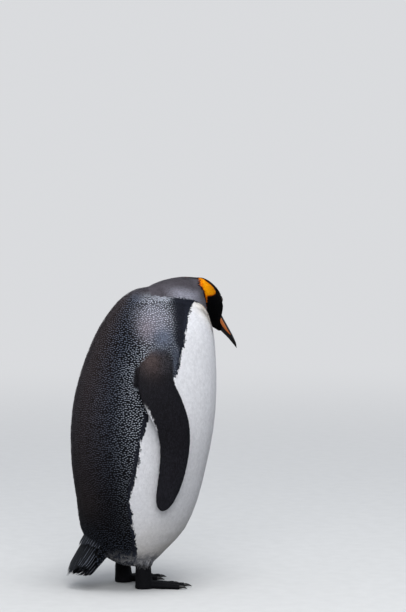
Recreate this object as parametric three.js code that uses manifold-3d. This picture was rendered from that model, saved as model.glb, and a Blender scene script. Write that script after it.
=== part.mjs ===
// King penguin (Aptenodytes patagonicus), an adult standing at rest: the neck is drawn in and bent
// forward over the breast, and the head is turned down to the bird's left. The solids are the outer
// surface of its plumage. Units are millimetres and degrees, +Z is up, the bird faces -Y and its right
// side is -X. The origin is the middle of the bird's bounding box, on the floor. "front" below means a
// distance towards -Y from the body's upright axis, and "rear" one towards +Y.
import * as THREE from 'three';
import { mergeVertices } from 'three/addons/utils/BufferGeometryUtils.js';
import Module from 'manifold-3d';

const wasm = await Module();
wasm.setup();

// ---- Driving dimensions ----

const SEAM = 0.3; // the thin cut between neighbouring pieces
const LEFT = 1;
const RIGHT = -1;

// The trunk's outline, from the hem of its feathers up to the shoulders. half is half its breadth.
const TRUNK = [
  { z: 45, rear: 22, front: -16, half: 3 },
  { z: 47, rear: 48, front: 14, half: 44 },
  { z: 60, rear: 74, front: 28, half: 70 },
  { z: 85, rear: 108, front: 53, half: 96 },
  { z: 125, rear: 131, front: 90, half: 117 },
  { z: 185, rear: 139, front: 117, half: 131 },
  { z: 255, rear: 149, front: 136, half: 138 },
  { z: 335, rear: 152, front: 153, half: 137 },
  { z: 415, rear: 142, front: 160, half: 129 },
  { z: 490, rear: 119, front: 159, half: 117 },
  { z: 550, rear: 92, front: 153, half: 102 },
  { z: 592, rear: 64, front: 134, half: 76 },
  { z: 618, rear: 40, front: 98, half: 46 },
  { z: 634, rear: 12, front: 58, half: 22 },
  { z: 639, rear: -20, front: 26, half: 3 },
];

// The neck, along its middle line from inside the shoulders to inside the head. side is a shift to the
// bird's left.
const NECK = [
  { front: 8, z: 550, side: 0, half: 70, deep: 62 },
  { front: 32, z: 585, side: 0, half: 60, deep: 56 },
  { front: 64, z: 605, side: 1, half: 52, deep: 50 },
  { front: 98, z: 613, side: 4, half: 45, deep: 46 },
  { front: 124, z: 614, side: 8, half: 39, deep: 42 },
];

// The head in its own frame: +X towards the bill, +Z towards the crown, +Y to its left, from between
// the ears.
const HEAD_PLACE = { side: 10, front: 142, z: 609, turnLeft: 46, bowDown: 32, rollRight: -10 };
const HEAD = [
  { at: -58, crown: 8, throat: 2, half: 3 },
  { at: -52, crown: 24, throat: 15, half: 18 },
  { at: -36, crown: 32.5, throat: 29, half: 29 },
  { at: -12, crown: 36.5, throat: 36, half: 33.5 },
  { at: 14, crown: 37.5, throat: 38, half: 33 },
  { at: 36, crown: 31.5, throat: 39, half: 28.5 },
  { at: 54, crown: 19.5, throat: 37, half: 18.5 },
  { at: 68, crown: 10, throat: 35, half: 9.8 },
  { at: 90, crown: -3, throat: 30, half: 6.6 },
  { at: 118, crown: -17, throat: 22, half: 2 },
];

// The closed bill, along its gape line. line is the gape line's height, and over and under reach up and
// down from it.
const BILL = [
  { at: 40, line: -4, over: 11, under: 13, half: 9.5 },
  { at: 66, line: -8, over: 16, under: 14, half: 10 },
  { at: 90, line: -11.8, over: 15.3, under: 11.2, half: 9 },
  { at: 120, line: -14.8, over: 13.9, under: 5.8, half: 6.7 },
  { at: 150, line: -16.4, over: 10, under: 3, half: 4.6 },
  { at: 172, line: -19.2, over: 5.8, under: 1.9, half: 2.9 },
  { at: 184, line: -23, over: 2.6, under: 0.8, half: 1.3 },
];
const LOWER_BILL_END = 177;
const LEAST_BILL = 0.5; // the least reach of the bill's tips

// The coloured plate let into either side of the lower bill. It tapers to a point in front.
const PLATE = { from: 58, to: 138, depth: 9.2, least: 0.6, rounding: 0.55, thick: 1.2 };
const EYE = { at: 28, up: 11, out: 20.5, radius: 9 };

// A flipper, along its middle line from inside the shoulder to the tip. out is its distance from the
// body's middle plane, chord is half its breadth, and thick half its thickness.
const FLIPPER = [
  { front: 12, z: 540, out: 80, chord: 18, thick: 12 },
  { front: 0, z: 505, out: 102, chord: 31, thick: 15 },
  { front: -8, z: 462, out: 124, chord: 38, thick: 14.5 },
  { front: -2, z: 428, out: 138, chord: 43.5, thick: 12 },
  { front: 14, z: 392, out: 147, chord: 41.5, thick: 10.5 },
  { front: 27, z: 354, out: 152, chord: 38, thick: 9 },
  { front: 30, z: 312, out: 154.5, chord: 34, thick: 7.6 },
  { front: 25, z: 270, out: 155, chord: 31, thick: 6.4 },
  { front: 18, z: 235, out: 153.5, chord: 27.5, thick: 5.4 },
  { front: 10, z: 206, out: 151, chord: 22, thick: 4.4 },
  { front: 5, z: 187, out: 149, chord: 13.5, thick: 3.4 },
  { front: 3.5, z: 180, out: 148.5, chord: 3, thick: 1.8 },
];
const CHORD_TURN = 6; // how far the leading edge turns in towards the breast
const FLIPPER_SECTION = { lead: 1.1, trail: 0.54 }; // how full it is at its leading and its trailing edge

// The tail, from inside the rump to the tips of its stiff feathers. droop is how far its two sides hang
// below its middle.
const TAIL = [
  { rear: 74, z: 110, half: 44, thick: 29, droop: 5 },
  { rear: 98, z: 93, half: 54, thick: 28, droop: 10 },
  { rear: 120, z: 74, half: 57, thick: 28, droop: 16 },
  { rear: 138, z: 55, half: 53, thick: 21, droop: 16 },
  { rear: 151, z: 40, half: 43, thick: 13, droop: 10 },
  { rear: 163, z: 27, half: 24, thick: 4, droop: 3 },
];

// A feathered shank, and the bare foot below it. The bird's left foot stands a little behind its right,
// and the hem of that shank's feathers is lifted.
const STANCE = [
  { name: 'right', side: RIGHT, out: 47, front: -5, toeOut: 7, hem: 0 },
  { name: 'left', side: LEFT, out: 47, front: -25, toeOut: 10, hem: 7 },
];
const SHANK = [
  { z: 110, front: 2, half: 38, deep: 40 },
  { z: 74, front: -5, half: 31, deep: 29 },
  { z: 54, front: -6, half: 24, deep: 22 },
  { z: 44, front: -6, half: 18, deep: 18 },
];
const TARSUS = [
  { z: 70, front: -3, half: 11, deep: 12 },
  { z: 40, front: -5, half: 14, deep: 16 },
  { z: 22, front: -4, half: 15.5, deep: 17.5 },
  { z: 6, front: -3, half: 17, deep: 19 },
  { z: -6, front: -3, half: 17, deep: 19 },
];
const TOES = [
  { name: 'inner', turn: -20, length: 68 },
  { name: 'middle', turn: 1, length: 82 },
  { name: 'outer', turn: 20, length: 73 },
];
const TOE = {
  baseRadius: 10.5, tipRadius: 6.2, baseHeight: 9, tipHeight: 4.2, flatness: 0.86, knuckle: 0.1,
};
const WEB = { reach: 0.82, hollow: 0.13, thick: 5, heel: 4 };
const HALLUX = { name: 'hallux', turn: -62, start: 6, length: 23, radius: 4.2, z: 11 };
const CLAW = { length: 20, radius: 4.3, droop: 3.6, inset: 3, lift: 1.2 };
const HALLUX_CLAW = { length: 9, radius: 2.2, droop: 1, inset: 2, lift: 0 };

// How many sides the round pieces have.
const SIDES = {
  trunk: 28, neck: 20, head: 20, bill: 12, eye: 12, flipper: 14, tail: 16, shank: 16, tarsus: 14, toe: 8,
  claw: 8,
};

const COLOURS = {
  back: 0x2a2f37, neck: 0x54575c, hood: 0x0c0c0e, bill: 0x121113, plate: 0xc8662c,
  eye: 0x1a0f0a, flipper: 0x26272b, tail: 0x15171b, foot: 0x17171a, claw: 0x0f0e0e,
};

// ---- Curves, rings and solids ----

// A value at station number t, on a smooth curve through the stations.
function along(stations, key, t) {
  const last = stations.length - 1;
  const i = Math.min(Math.floor(t), last - 1);
  const at = (n) => stations[Math.max(0, Math.min(last, n))][key];
  const [p, q, r, s] = [at(i - 1), at(i), at(i + 1), at(i + 2)];
  const [q1, r1] = [(r - p) / 2, (s - q) / 2];
  const u = t - i;
  return q + u * (q1 + u * (3 * (r - q) - 2 * q1 - r1 + u * (2 * (q - r) + q1 + r1)));
}

// All the values of the stations at `steps` even steps between each two of them.
function fine(stations, steps) {
  const keys = Object.keys(stations[0]);
  const count = (stations.length - 1) * steps;
  return Array.from({ length: count + 1 }, (_, n) =>
    Object.fromEntries(keys.map((key) => [key, along(stations, key, n / steps)])));
}

// A ring round `centre` in the plane of `across` and `over`, egg-shaped where top and bottom differ.
function ring({ centre, across, over, half, top, bottom = top, count, power = 2 }) {
  const bend = (v) => Math.sign(v) * Math.abs(v) ** (2 / power);
  return Array.from({ length: count }, (_, n) => {
    const angle = (2 * Math.PI * n) / count;
    const [c, s] = [bend(Math.cos(angle)), bend(Math.sin(angle))];
    return centre.clone().addScaledVector(across, c * half).addScaledVector(over, s * (s > 0 ? top : bottom));
  });
}

// A closed skin over rings of as many points each, with a fan at either end.
function loft(rings) {
  const count = rings[0].length;
  const middle = (r) => r.reduce((sum, p) => sum.add(p), new THREE.Vector3()).divideScalar(count);
  const points = [...rings.flat(), middle(rings[0]), middle(rings.at(-1))];
  const [first, last] = [points.length - 2, points.length - 1];
  const index = [];
  for (let n = 0; n < count; n++) {
    const next = (n + 1) % count;
    for (let r = 0; r < rings.length - 1; r++) {
      const [a, b] = [r * count, (r + 1) * count];
      index.push(a + n, a + next, b + next, a + n, b + next, b + n);
    }
    const end = (rings.length - 1) * count;
    index.push(first, next, n, last, end + n, end + next);
  }
  const geometry = new THREE.BufferGeometry().setFromPoints(points);
  geometry.setIndex(index);
  return toSolid(geometry);
}

// A closed geometry as a manifold-3d solid, turned right side out.
function toSolid(geometry) {
  const bare = geometry.clone();
  bare.deleteAttribute('normal');
  bare.deleteAttribute('uv');
  const merged = mergeVertices(bare, 1e-4);
  const make = (triVerts) => new wasm.Manifold(new wasm.Mesh({
    numProp: 3, vertProperties: new Float32Array(merged.attributes.position.array), triVerts,
  }));
  const solid = make(new Uint32Array(merged.index.array));
  return solid.volume() > 0 ? solid : make(new Uint32Array(merged.index.array).reverse());
}

function toGeometry(solid) {
  const { numProp, numVert, vertProperties, triVerts } = solid.getMesh();
  const positions = new Float32Array(numVert * 3);
  for (let i = 0; i < numVert; i++) {
    positions.set(vertProperties.subarray(i * numProp, i * numProp + 3), i * 3);
  }
  const geometry = new THREE.BufferGeometry();
  geometry.setAttribute('position', new THREE.BufferAttribute(positions, 3));
  geometry.setIndex(new THREE.BufferAttribute(new Uint32Array(triVerts), 1));
  geometry.computeVertexNormals();
  return geometry;
}

const largest = (solid) => solid.decompose().sort((a, b) => b.volume() - a.volume())[0];
const cut = (solid, ...tools) => largest(tools.reduce((rest, tool) => rest.subtract(tool), solid));
const moved = (solid, object) => {
  object.updateWorldMatrix(true, false);
  return toSolid(toGeometry(solid).applyMatrix4(object.matrixWorld));
};

function finish(name, solid, colour, roughness = 0.8) {
  const material = new THREE.MeshStandardMaterial({ color: colour, roughness, metalness: 0 });
  const mesh = new THREE.Mesh(toGeometry(solid), material);
  mesh.name = name;
  return mesh;
}

const X = new THREE.Vector3(1, 0, 0);
const Z = new THREE.Vector3(0, 0, 1);
const FRONT = new THREE.Vector3(0, -1, 0);

// The direction of a middle line at its point n.
function wayAt(centres, n) {
  const ahead = centres[Math.min(n + 1, centres.length - 1)];
  const behind = centres[Math.max(n - 1, 0)];
  return ahead.clone().sub(behind).normalize();
}

// Two directions square to `way` and to each other, the first as near to `across` as may be.
function squareTo(way, across) {
  const over = new THREE.Vector3().crossVectors(way, across).normalize();
  return [new THREE.Vector3().crossVectors(over, way).normalize(), over];
}

// Rings square to their own middle line. `half` reaches along `across`, and `top` the other way.
function tubeRings(centres, sizes, across, options) {
  return centres.map((centre, n) => {
    const [side, over] = squareTo(wayAt(centres, n), across);
    return ring({ centre, across: side, over, ...sizes[n], ...options });
  });
}

const tube = (...rings) => loft(tubeRings(...rings));

// ---- The pieces ----

function trunkSolid(grow = 0) {
  return loft(fine(TRUNK, 2).map(({ z, rear, front, half }) => ring({
    centre: new THREE.Vector3(0, (rear - front) / 2, z), across: X, over: FRONT,
    half: half + grow, top: (rear + front) / 2 + grow, count: SIDES.trunk, power: 2.12,
  })));
}

function neckSolid() {
  const stations = fine(NECK, 2);
  const centres = stations.map(({ front, z, side }) => new THREE.Vector3(side, -front, z));
  const sizes = stations.map(({ half, deep }) => ({ half, top: deep }));
  return tube(centres, sizes, X, { count: SIDES.neck });
}

// In the head's own frame, as are the bill and the eyes.
function headSolid(grow = 0) {
  return loft(fine(HEAD, 2).map(({ at, crown, throat, half }) => ring({
    centre: new THREE.Vector3(at, 0, (crown - throat) / 2), across: new THREE.Vector3(0, 1, 0), over: Z,
    half: half + grow, top: (crown + throat) / 2 + grow, count: SIDES.head, power: 2.1,
  })));
}

// The part of the bill above or below the gape line, as a flat-sided half of the whole.
function billHalf(side, grow = 0) {
  const kept = fine(BILL, 2).filter(({ at }) => side === 'over' || at < LOWER_BILL_END);
  return loft(kept.map((station) => {
    const reach = station[side] + grow;
    const gap = SEAM / 2 - grow;
    return ring({
      centre: new THREE.Vector3(station.at, 0, station.line + (side === 'over' ? gap : -gap)),
      across: new THREE.Vector3(0, 1, 0), over: side === 'over' ? Z : Z.clone().negate(),
      half: Math.max(station.half + grow, LEAST_BILL), top: Math.max(reach - gap, LEAST_BILL), bottom: 0,
      count: SIDES.bill,
    });
  }));
}

// The tapering outline of the lower bill's coloured side plate, as a slab through one side of the bill.
function plateRegion(side, grow) {
  const lineAt = (at) => {
    const i = BILL.findIndex((station, n) => n > 0 && station.at >= at);
    const share = (at - BILL[i - 1].at) / (BILL[i].at - BILL[i - 1].at);
    return THREE.MathUtils.lerp(BILL[i - 1].line, BILL[i].line, share) - 2 * SEAM;
  };
  const steps = 6;
  const spots = Array.from({ length: steps + 1 }, (_, n) => n / steps);
  const xAt = (share) => THREE.MathUtils.lerp(PLATE.from - grow, PLATE.to + grow, share);
  const depthAt = (share) => PLATE.least + PLATE.depth * Math.sin(Math.PI * share ** PLATE.rounding);
  const top = spots.map((share) => new THREE.Vector2(xAt(share), lineAt(xAt(share)) + grow));
  const low = spots.map((share) => new THREE.Vector2(xAt(share), lineAt(xAt(share)) - depthAt(share) - grow));
  const reach = 2 * Math.max(...BILL.map(({ half }) => half));
  const slab = new THREE.ExtrudeGeometry(new THREE.Shape([...top, ...low.reverse()]), {
    depth: reach, bevelEnabled: false,
  });
  slab.rotateX(Math.PI / 2); // its depth now runs along -Y, and its outline lies in X and Z
  slab.translate(0, side === LEFT ? reach + SEAM : -SEAM, 0);
  return toSolid(slab);
}

function plateSolid(side) {
  const shell = billHalf('under', PLATE.thick / 3).subtract(billHalf('under', -PLATE.thick));
  return largest(shell.intersect(plateRegion(side, 0)));
}

function platePocket(side) {
  return billHalf('under', PLATE.thick).subtract(billHalf('under', -PLATE.thick - SEAM))
    .intersect(plateRegion(side, SEAM));
}

function eyeSolid(side, grow = 0) {
  const ball = new THREE.SphereGeometry(EYE.radius + grow, SIDES.eye, (2 * SIDES.eye) / 3);
  ball.translate(EYE.at, side * EYE.out, EYE.up);
  return toSolid(ball);
}

function flipperSolid(side) {
  const stations = fine(FLIPPER, 2);
  const centres = stations.map(({ front, z, out }) => new THREE.Vector3(side * out, -front, z));
  return loft(stations.map(({ chord, thick }, n) => {
    const turn = THREE.MathUtils.degToRad(CHORD_TURN);
    const lead = new THREE.Vector3(-side * Math.sin(turn), -Math.cos(turn), 0);
    const [across, over] = squareTo(wayAt(centres, n), lead);
    const section = ring({ centre: centres[n], across, over, half: chord, top: thick, count: SIDES.flipper });
    return section.map((point) => {
      const spot = point.clone().sub(centres[n]);
      const share = (1 + spot.dot(across) / chord) / 2; // 1 at the leading edge, 0 at the trailing
      const full = THREE.MathUtils.lerp(FLIPPER_SECTION.trail, FLIPPER_SECTION.lead, share);
      return point.addScaledVector(over, (full - 1) * spot.dot(over));
    });
  }));
}

function tailSolid() {
  const stations = fine(TAIL, 2);
  const centres = stations.map(({ rear, z }) => new THREE.Vector3(0, rear, z));
  const sizes = stations.map(({ half, thick }) => ({ half, top: thick }));
  const rings = tubeRings(centres, sizes, X, { count: SIDES.tail, power: 2.3 });
  const drooped = (point, { half, droop }) => point.setZ(point.z - droop * (point.x / half) ** 2);
  return loft(rings.map((points, n) => points.map((point) => drooped(point, stations[n]))));
}

function column(stations, { side, out, front }, count, grow = 0) {
  return loft(fine(stations, 2).map((station) => ring({
    centre: new THREE.Vector3(side * out, -front - station.front, station.z), across: X, over: FRONT,
    half: station.half + grow, top: station.deep + grow, count,
  })));
}

// In the foot's own frame: +X forward along the middle toe, the floor at Z = 0, from under the ankle.
const toeWay = (turn) => new THREE.Vector3(1, 0, 0).applyAxisAngle(Z, THREE.MathUtils.degToRad(turn));
const acrossWay = (way) => new THREE.Vector3().crossVectors(Z, way);
const alongWay = (way, reach, z) => way.clone().multiplyScalar(reach).setZ(z);

function toeSolid({ way, length }) {
  const steps = 4;
  const stations = Array.from({ length: steps + 1 }, (_, n) => n / steps);
  const centres = stations.map((share) =>
    alongWay(way, share * length, THREE.MathUtils.lerp(TOE.baseHeight, TOE.tipHeight, share ** 0.8)));
  const sizes = stations.map((share, n) => {
    const knuckle = 1 + (n % 2 === 0 ? TOE.knuckle : -TOE.knuckle); // a pad at every second ring
    const radius = THREE.MathUtils.lerp(TOE.baseRadius, TOE.tipRadius, share) * knuckle;
    return { half: radius, top: radius * TOE.flatness };
  });
  return tube(centres, sizes, acrossWay(way), { count: SIDES.toe });
}

// The web between two toes: a thin slab whose front edge is hollow, and whose back lies in the heel.
function webSolid(one, two) {
  const [a, b] = [one, two].map(({ way, length }) => way.clone().multiplyScalar(length * WEB.reach));
  const dip = a.clone().add(b).multiplyScalar((1 - WEB.hollow) / 2);
  const [from, by, to] = [a, dip, b].map(({ x, y }) => new THREE.Vector2(x, y));
  const edge = new THREE.QuadraticBezierCurve(from, by, to);
  const outline = new THREE.Shape([new THREE.Vector2(-WEB.heel, 0), ...edge.getPoints(6)]);
  const slab = new THREE.ExtrudeGeometry(outline, { depth: 2 * WEB.thick, bevelEnabled: false });
  slab.translate(0, 0, -WEB.thick);
  return toSolid(slab);
}

function halluxSolid({ way, length }) {
  const centres = [0, 0.5, 1].map((share) => alongWay(way, HALLUX.start + share * length, HALLUX.z));
  const sizes = [1.2, 1, 0.8].map((scale) => ({ half: HALLUX.radius * scale, top: HALLUX.radius * scale }));
  return tube(centres, sizes, acrossWay(way), { count: SIDES.toe });
}

// A claw that curves down along `way`, from `root`.
function clawSolid(way, root, { length, radius, droop }) {
  const stations = [0, 0.35, 0.7, 1];
  const centres = stations.map((share) => root.clone().addScaledVector(way, share * length)
    .addScaledVector(Z, -droop * share ** 2));
  const least = 0.5;
  const sizes = stations.map((share) => ({
    half: Math.max(0.75 * radius * (1 - share), least), top: Math.max(radius * (1 - share ** 1.3), least),
  }));
  return tube(centres, sizes, acrossWay(way), { count: SIDES.claw });
}

function floorSolid() {
  const block = new THREE.BoxGeometry(600, 600, 60);
  block.translate(0, 0, -30);
  return toSolid(block);
}

// ---- The whole bird ----

const bird = new THREE.Group();
const toRadians = THREE.MathUtils.degToRad;

// The head's group. Its own +X is turned from straight ahead (-Y) to the bird's left, then bowed and rolled.
const headGroup = new THREE.Group();
headGroup.position.set(HEAD_PLACE.side, -HEAD_PLACE.front, HEAD_PLACE.z);
headGroup.rotation.order = 'ZYX';
headGroup.rotation.z = toRadians(HEAD_PLACE.turnLeft - 90);
headGroup.rotation.y = toRadians(HEAD_PLACE.bowDown);
headGroup.rotation.x = toRadians(HEAD_PLACE.rollRight);
headGroup.updateMatrixWorld(true);

const trunk = trunkSolid();
const trunkCutter = trunkSolid(SEAM);
const headCutter = moved(headSolid(SEAM), headGroup);
const toHead = new THREE.Object3D();
toHead.applyMatrix4(headGroup.matrixWorld.clone().invert());

bird.add(finish('trunk', trunk, COLOURS.back));
bird.add(finish('neck', cut(neckSolid(), trunkCutter, headCutter), COLOURS.neck));

const upperBill = billHalf('over');
const lowerBill = cut(billHalf('under'), platePocket(LEFT), platePocket(RIGHT));
const billCutter = billHalf('over', SEAM).add(billHalf('under', PLATE.thick));
const eyeCutters = [LEFT, RIGHT].map((side) => eyeSolid(side, SEAM));
const skull = cut(headSolid(), moved(trunkCutter, toHead), billCutter, ...eyeCutters);
headGroup.add(finish('head', skull, COLOURS.hood, 0.6));
headGroup.add(finish('bill_upper', upperBill, COLOURS.bill, 0.35));
headGroup.add(finish('bill_lower', lowerBill, COLOURS.bill, 0.35));
for (const [name, side] of [['left', LEFT], ['right', RIGHT]]) {
  headGroup.add(finish(`bill_plate_${name}`, plateSolid(side), COLOURS.plate, 0.4));
  headGroup.add(finish(`eye_${name}`, eyeSolid(side), COLOURS.eye, 0.1));
  bird.add(finish(`flipper_${name}`, cut(flipperSolid(side), trunkCutter), COLOURS.flipper));
}
bird.add(headGroup);
bird.add(finish('tail', cut(tailSolid(), trunkCutter), COLOURS.tail));

for (const place of STANCE) {
  const feathered = SHANK.map((station) => ({ ...station, z: station.z + place.hem }));
  const shank = cut(column(feathered, place, SIDES.shank), trunkCutter);
  const shankCutter = cut(column(feathered, place, SIDES.shank, SEAM), trunkCutter);
  bird.add(finish(`leg_${place.name}`, shank, COLOURS.back));

  const footGroup = new THREE.Group();
  footGroup.position.set(place.side * place.out, -place.front, 0);
  footGroup.rotation.z = toRadians(-90 + place.side * place.toeOut);
  footGroup.updateMatrixWorld(true);
  const toFoot = new THREE.Object3D();
  toFoot.applyMatrix4(footGroup.matrixWorld.clone().invert());

  // A digit's turn is given for the bird's left foot, and its right foot is the mirror image.
  const toes = TOES.map((toe) => ({ ...toe, start: 0, z: TOE.tipHeight, claw: CLAW }));
  const digits = [...toes, { ...HALLUX, claw: HALLUX_CLAW }]
    .map((digit) => ({ ...digit, way: toeWay(place.side * digit.turn) }));
  const [inner, mid, outer, hallux] = digits;
  const tarsus = moved(column(TARSUS, place, SIDES.tarsus), toFoot);
  const webs = [webSolid(inner, mid), webSolid(mid, outer)];
  const bare = [...[inner, mid, outer].map(toeSolid), ...webs, halluxSolid(hallux)]
    .reduce((whole, piece) => whole.add(piece), tarsus);
  const foot = cut(bare, floorSolid(), moved(shankCutter, toFoot), moved(trunkCutter, toFoot));
  footGroup.add(finish(`foot_${place.name}`, foot, COLOURS.foot, 0.55));

  for (const { name, way, start, length, z, claw } of digits) {
    const root = alongWay(way, start + length - claw.inset, z + claw.lift);
    const nail = cut(clawSolid(way, root, claw), foot, floorSolid());
    footGroup.add(finish(`claw_${place.name}_${name}`, nail, COLOURS.claw, 0.4));
  }
  bird.add(footGroup);
}

// The bird stands with the middle of its bounding box over the origin, and its soles on the floor.
const precise = true;
const box = new THREE.Box3().setFromObject(bird, precise);
const middle = box.getCenter(new THREE.Vector3());
bird.position.set(-middle.x, -middle.y, -box.min.z);

const part = new THREE.Group();
part.add(bird);

export default part;
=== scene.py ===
import math

import bmesh
import bpy
import numpy as np
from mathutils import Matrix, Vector
from mathutils.bvhtree import BVHTree
from mathutils.kdtree import KDTree


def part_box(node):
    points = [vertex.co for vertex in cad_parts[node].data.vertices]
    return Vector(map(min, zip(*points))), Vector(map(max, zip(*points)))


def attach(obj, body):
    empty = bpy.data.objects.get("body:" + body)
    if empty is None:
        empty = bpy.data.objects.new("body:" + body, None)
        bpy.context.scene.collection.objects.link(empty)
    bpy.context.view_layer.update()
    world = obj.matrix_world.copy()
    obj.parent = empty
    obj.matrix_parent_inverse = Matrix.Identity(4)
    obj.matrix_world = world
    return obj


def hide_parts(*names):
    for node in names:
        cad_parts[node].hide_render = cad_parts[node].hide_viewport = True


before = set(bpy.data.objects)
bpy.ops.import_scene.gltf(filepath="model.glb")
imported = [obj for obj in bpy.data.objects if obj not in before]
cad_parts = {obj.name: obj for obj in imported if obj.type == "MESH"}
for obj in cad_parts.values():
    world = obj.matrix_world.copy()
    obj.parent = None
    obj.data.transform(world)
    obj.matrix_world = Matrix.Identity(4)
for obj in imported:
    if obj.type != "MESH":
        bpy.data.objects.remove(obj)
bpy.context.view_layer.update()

# A king penguin at rest: one skin under a coat of solid feathers. Lengths are in metres, except where a
# table says millimetres. "front" is a distance towards -Y from the body's upright axis, "side" one
# towards the bird's left, and both are in millimetres, as is the height z.
MM = 0.001
CHANCE = np.random.default_rng(9)

# ---- Places, read from the frame ----

TRUNK_REAR = 0.152  # the trunk's reach behind the body's axis
AXIS_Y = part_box("trunk")[1].y - TRUNK_REAR


def node_points(name):
    return np.array([v.co[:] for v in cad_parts[name].data.vertices])


def lengths(v):
    return np.linalg.norm(v, axis=-1)


def unit(v):
    return v / np.maximum(lengths(v)[..., None], 1e-9)


SIDES = {"left": 1, "right": -1}
EYE_MIDDLES = {side: node_points(f"eye_{side}").mean(0) for side in SIDES}
EYE_RADIUS = max(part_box("eye_right")[1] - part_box("eye_right")[0]) / 2
EYES_AT = np.array([28, 0, 11]) * MM  # the point midway between the eyes, in the head's frame
BILL_TIP_AT = np.array([184, 0, -23]) * MM


def head_frame():
    """The head's middle, and its axes as rows: towards the bill, to its left, and to its crown."""
    between = (EYE_MIDDLES["left"] + EYE_MIDDLES["right"]) / 2
    left = unit(EYE_MIDDLES["left"] - EYE_MIDDLES["right"])
    bill = node_points("bill_upper")
    tip = bill[lengths(bill - between).argmax()]
    out = unit((tip - between) - left * ((tip - between) @ left))
    over = np.cross(out, left)
    rise = math.atan2(BILL_TIP_AT[2] - EYES_AT[2], BILL_TIP_AT[0] - EYES_AT[0])
    ahead = out * math.cos(rise) - over * math.sin(rise)
    axes = np.array([ahead, left, np.cross(ahead, left)])
    return between - EYES_AT @ axes, axes


HEAD_MIDDLE, HEAD_AXES = head_frame()


def to_head(points):
    """Three arrays: how far ahead, left and up from the head's middle, in millimetres."""
    return ((np.asarray(points) - HEAD_MIDDLE) @ HEAD_AXES.T / MM).T


def from_head(points):
    """Places in metres of rows of such numbers."""
    return np.asarray(points, float) * MM @ HEAD_AXES + HEAD_MIDDLE


def to_body(points):
    """side, front and height in millimetres."""
    p = np.asarray(points) / MM
    return p[..., 0], AXIS_Y / MM - p[..., 1], p[..., 2]


def from_body(side, front, z):
    return np.stack(np.broadcast_arrays(side * MM, AXIS_Y - front * MM, z * MM), -1).astype(float)


# ---- Small sums ----

def step(low, high, x):
    """0 below low, 1 above high, and smooth between."""
    t = np.clip((x - low) / (high - low), 0, 1)
    return t * t * (3 - 2 * t)


def fall(low, high, x):
    """1 below low, 0 above high, and smooth between."""
    return 1 - step(low, high, x)


def between(x, low, high):
    return (x > low) & (x < high)


def bell(x, middle, reach, power=2):
    return np.exp(-(((x - middle) / reach) ** power))


def table(rows, x, column=1):
    """A column of a table, at places x along its first one."""
    rows = np.array(rows, float)
    return np.interp(x, rows[:, 0], rows[:, column])


def curve_through(rows, at):
    """Rows of numbers on a smooth curve through the given ones, at places along their first column."""
    rows = np.array(rows, float)
    keys = rows[:, 0]
    n = np.clip(np.searchsorted(keys, at, side="right") - 1, 0, len(keys) - 2)
    t = ((at - keys[n]) / (keys[n + 1] - keys[n]))[:, None]
    p, q = rows[np.maximum(n - 1, 0)], rows[n]
    r, w = rows[n + 1], rows[np.minimum(n + 2, len(keys) - 1)]
    q1, r1 = (r - p) / 2, (w - q) / 2
    return q + t * (q1 + t * (3 * (r - q) - 2 * q1 - r1 + t * (2 * (q - r) + q1 + r1)))


def all_round(count):
    """Angles evenly round a circle."""
    return np.linspace(0, 2 * math.pi, count, endpoint=False)


def blend(a, b, share):
    share = np.asarray(share)[..., None]
    return a * (1 - share) + b * share


def colour(r, g, b):
    """A colour written in sRGB of 0 to 255, as the light it stands for."""
    c = np.array([r, g, b]) / 255
    return np.where(c <= 0.04045, c / 12.92, ((c + 0.055) / 1.055) ** 2.4)


def cloud(points, size, seed):
    """Smooth noise of 0 to 1 over points in metres, with lumps about `size` metres across."""
    q = np.asarray(points) / size + seed * 17.3
    cell = np.floor(q).astype(np.int64)
    part = q - cell
    part = part * part * (3 - 2 * part)
    total = np.zeros(len(q))
    for corner in np.ndindex(2, 2, 2):
        c = cell + np.array(corner)
        mixed = (c[:, 0] * 73856093) ^ (c[:, 1] * 19349663) ^ (c[:, 2] * 83492791) ^ (seed * 2654435761)
        value = ((mixed * 1103515245 + 12345) % 2147483648) / 2147483648
        weight = np.prod(np.where(np.array(corner), part, 1 - part), axis=1)
        total += weight * value
    return total


# ---- Meshes ----

def make_mesh(name, points, faces):
    """A mesh from an array of points and a list of arrays of faces, each of one number of corners."""
    mesh = bpy.data.meshes.new(name)
    corners = np.concatenate([f.ravel() for f in faces]).astype(np.int32)
    sizes = np.concatenate([np.full(len(f), f.shape[1]) for f in faces]).astype(np.int32)
    mesh.vertices.add(len(points))
    mesh.vertices.foreach_set("co", np.asarray(points, np.float32).ravel())
    mesh.loops.add(len(corners))
    mesh.loops.foreach_set("vertex_index", corners)
    mesh.polygons.add(len(sizes))
    mesh.polygons.foreach_set("loop_start", np.concatenate([[0], np.cumsum(sizes)[:-1]]).astype(np.int32))
    mesh.polygons.foreach_set("use_smooth", np.ones(len(sizes), bool))
    mesh.update(calc_edges=True)
    return mesh


def new_object(name, data):
    made = bpy.data.objects.new(name, data)
    bpy.context.scene.collection.objects.link(made)
    return made


def add_piece(name, mesh, material, slot, *replaced):
    piece = new_object(name, mesh)
    mesh.materials.append(material)
    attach(piece, "root")
    if replaced:
        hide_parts(*replaced)


def evaluated(thing):
    """A new mesh of an object with its modifiers applied."""
    return bpy.data.meshes.new_from_object(thing.evaluated_get(bpy.context.evaluated_depsgraph_get()))


def paint(mesh, colours):
    """The vertex colours that the materials start from."""
    layer = mesh.color_attributes.new("shade", "FLOAT_COLOR", "POINT")
    full = np.concatenate([colours, np.ones((len(colours), 1))], 1)
    layer.data.foreach_set("color", full.astype(np.float32).ravel())


def repeated(faces, count, size):
    """The faces of `count` like parts of `size` points each, from those of the first."""
    starts = np.arange(count)[:, None, None] * size
    return (np.array(faces)[None] + starts).reshape(-1, len(faces[0]))


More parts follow.
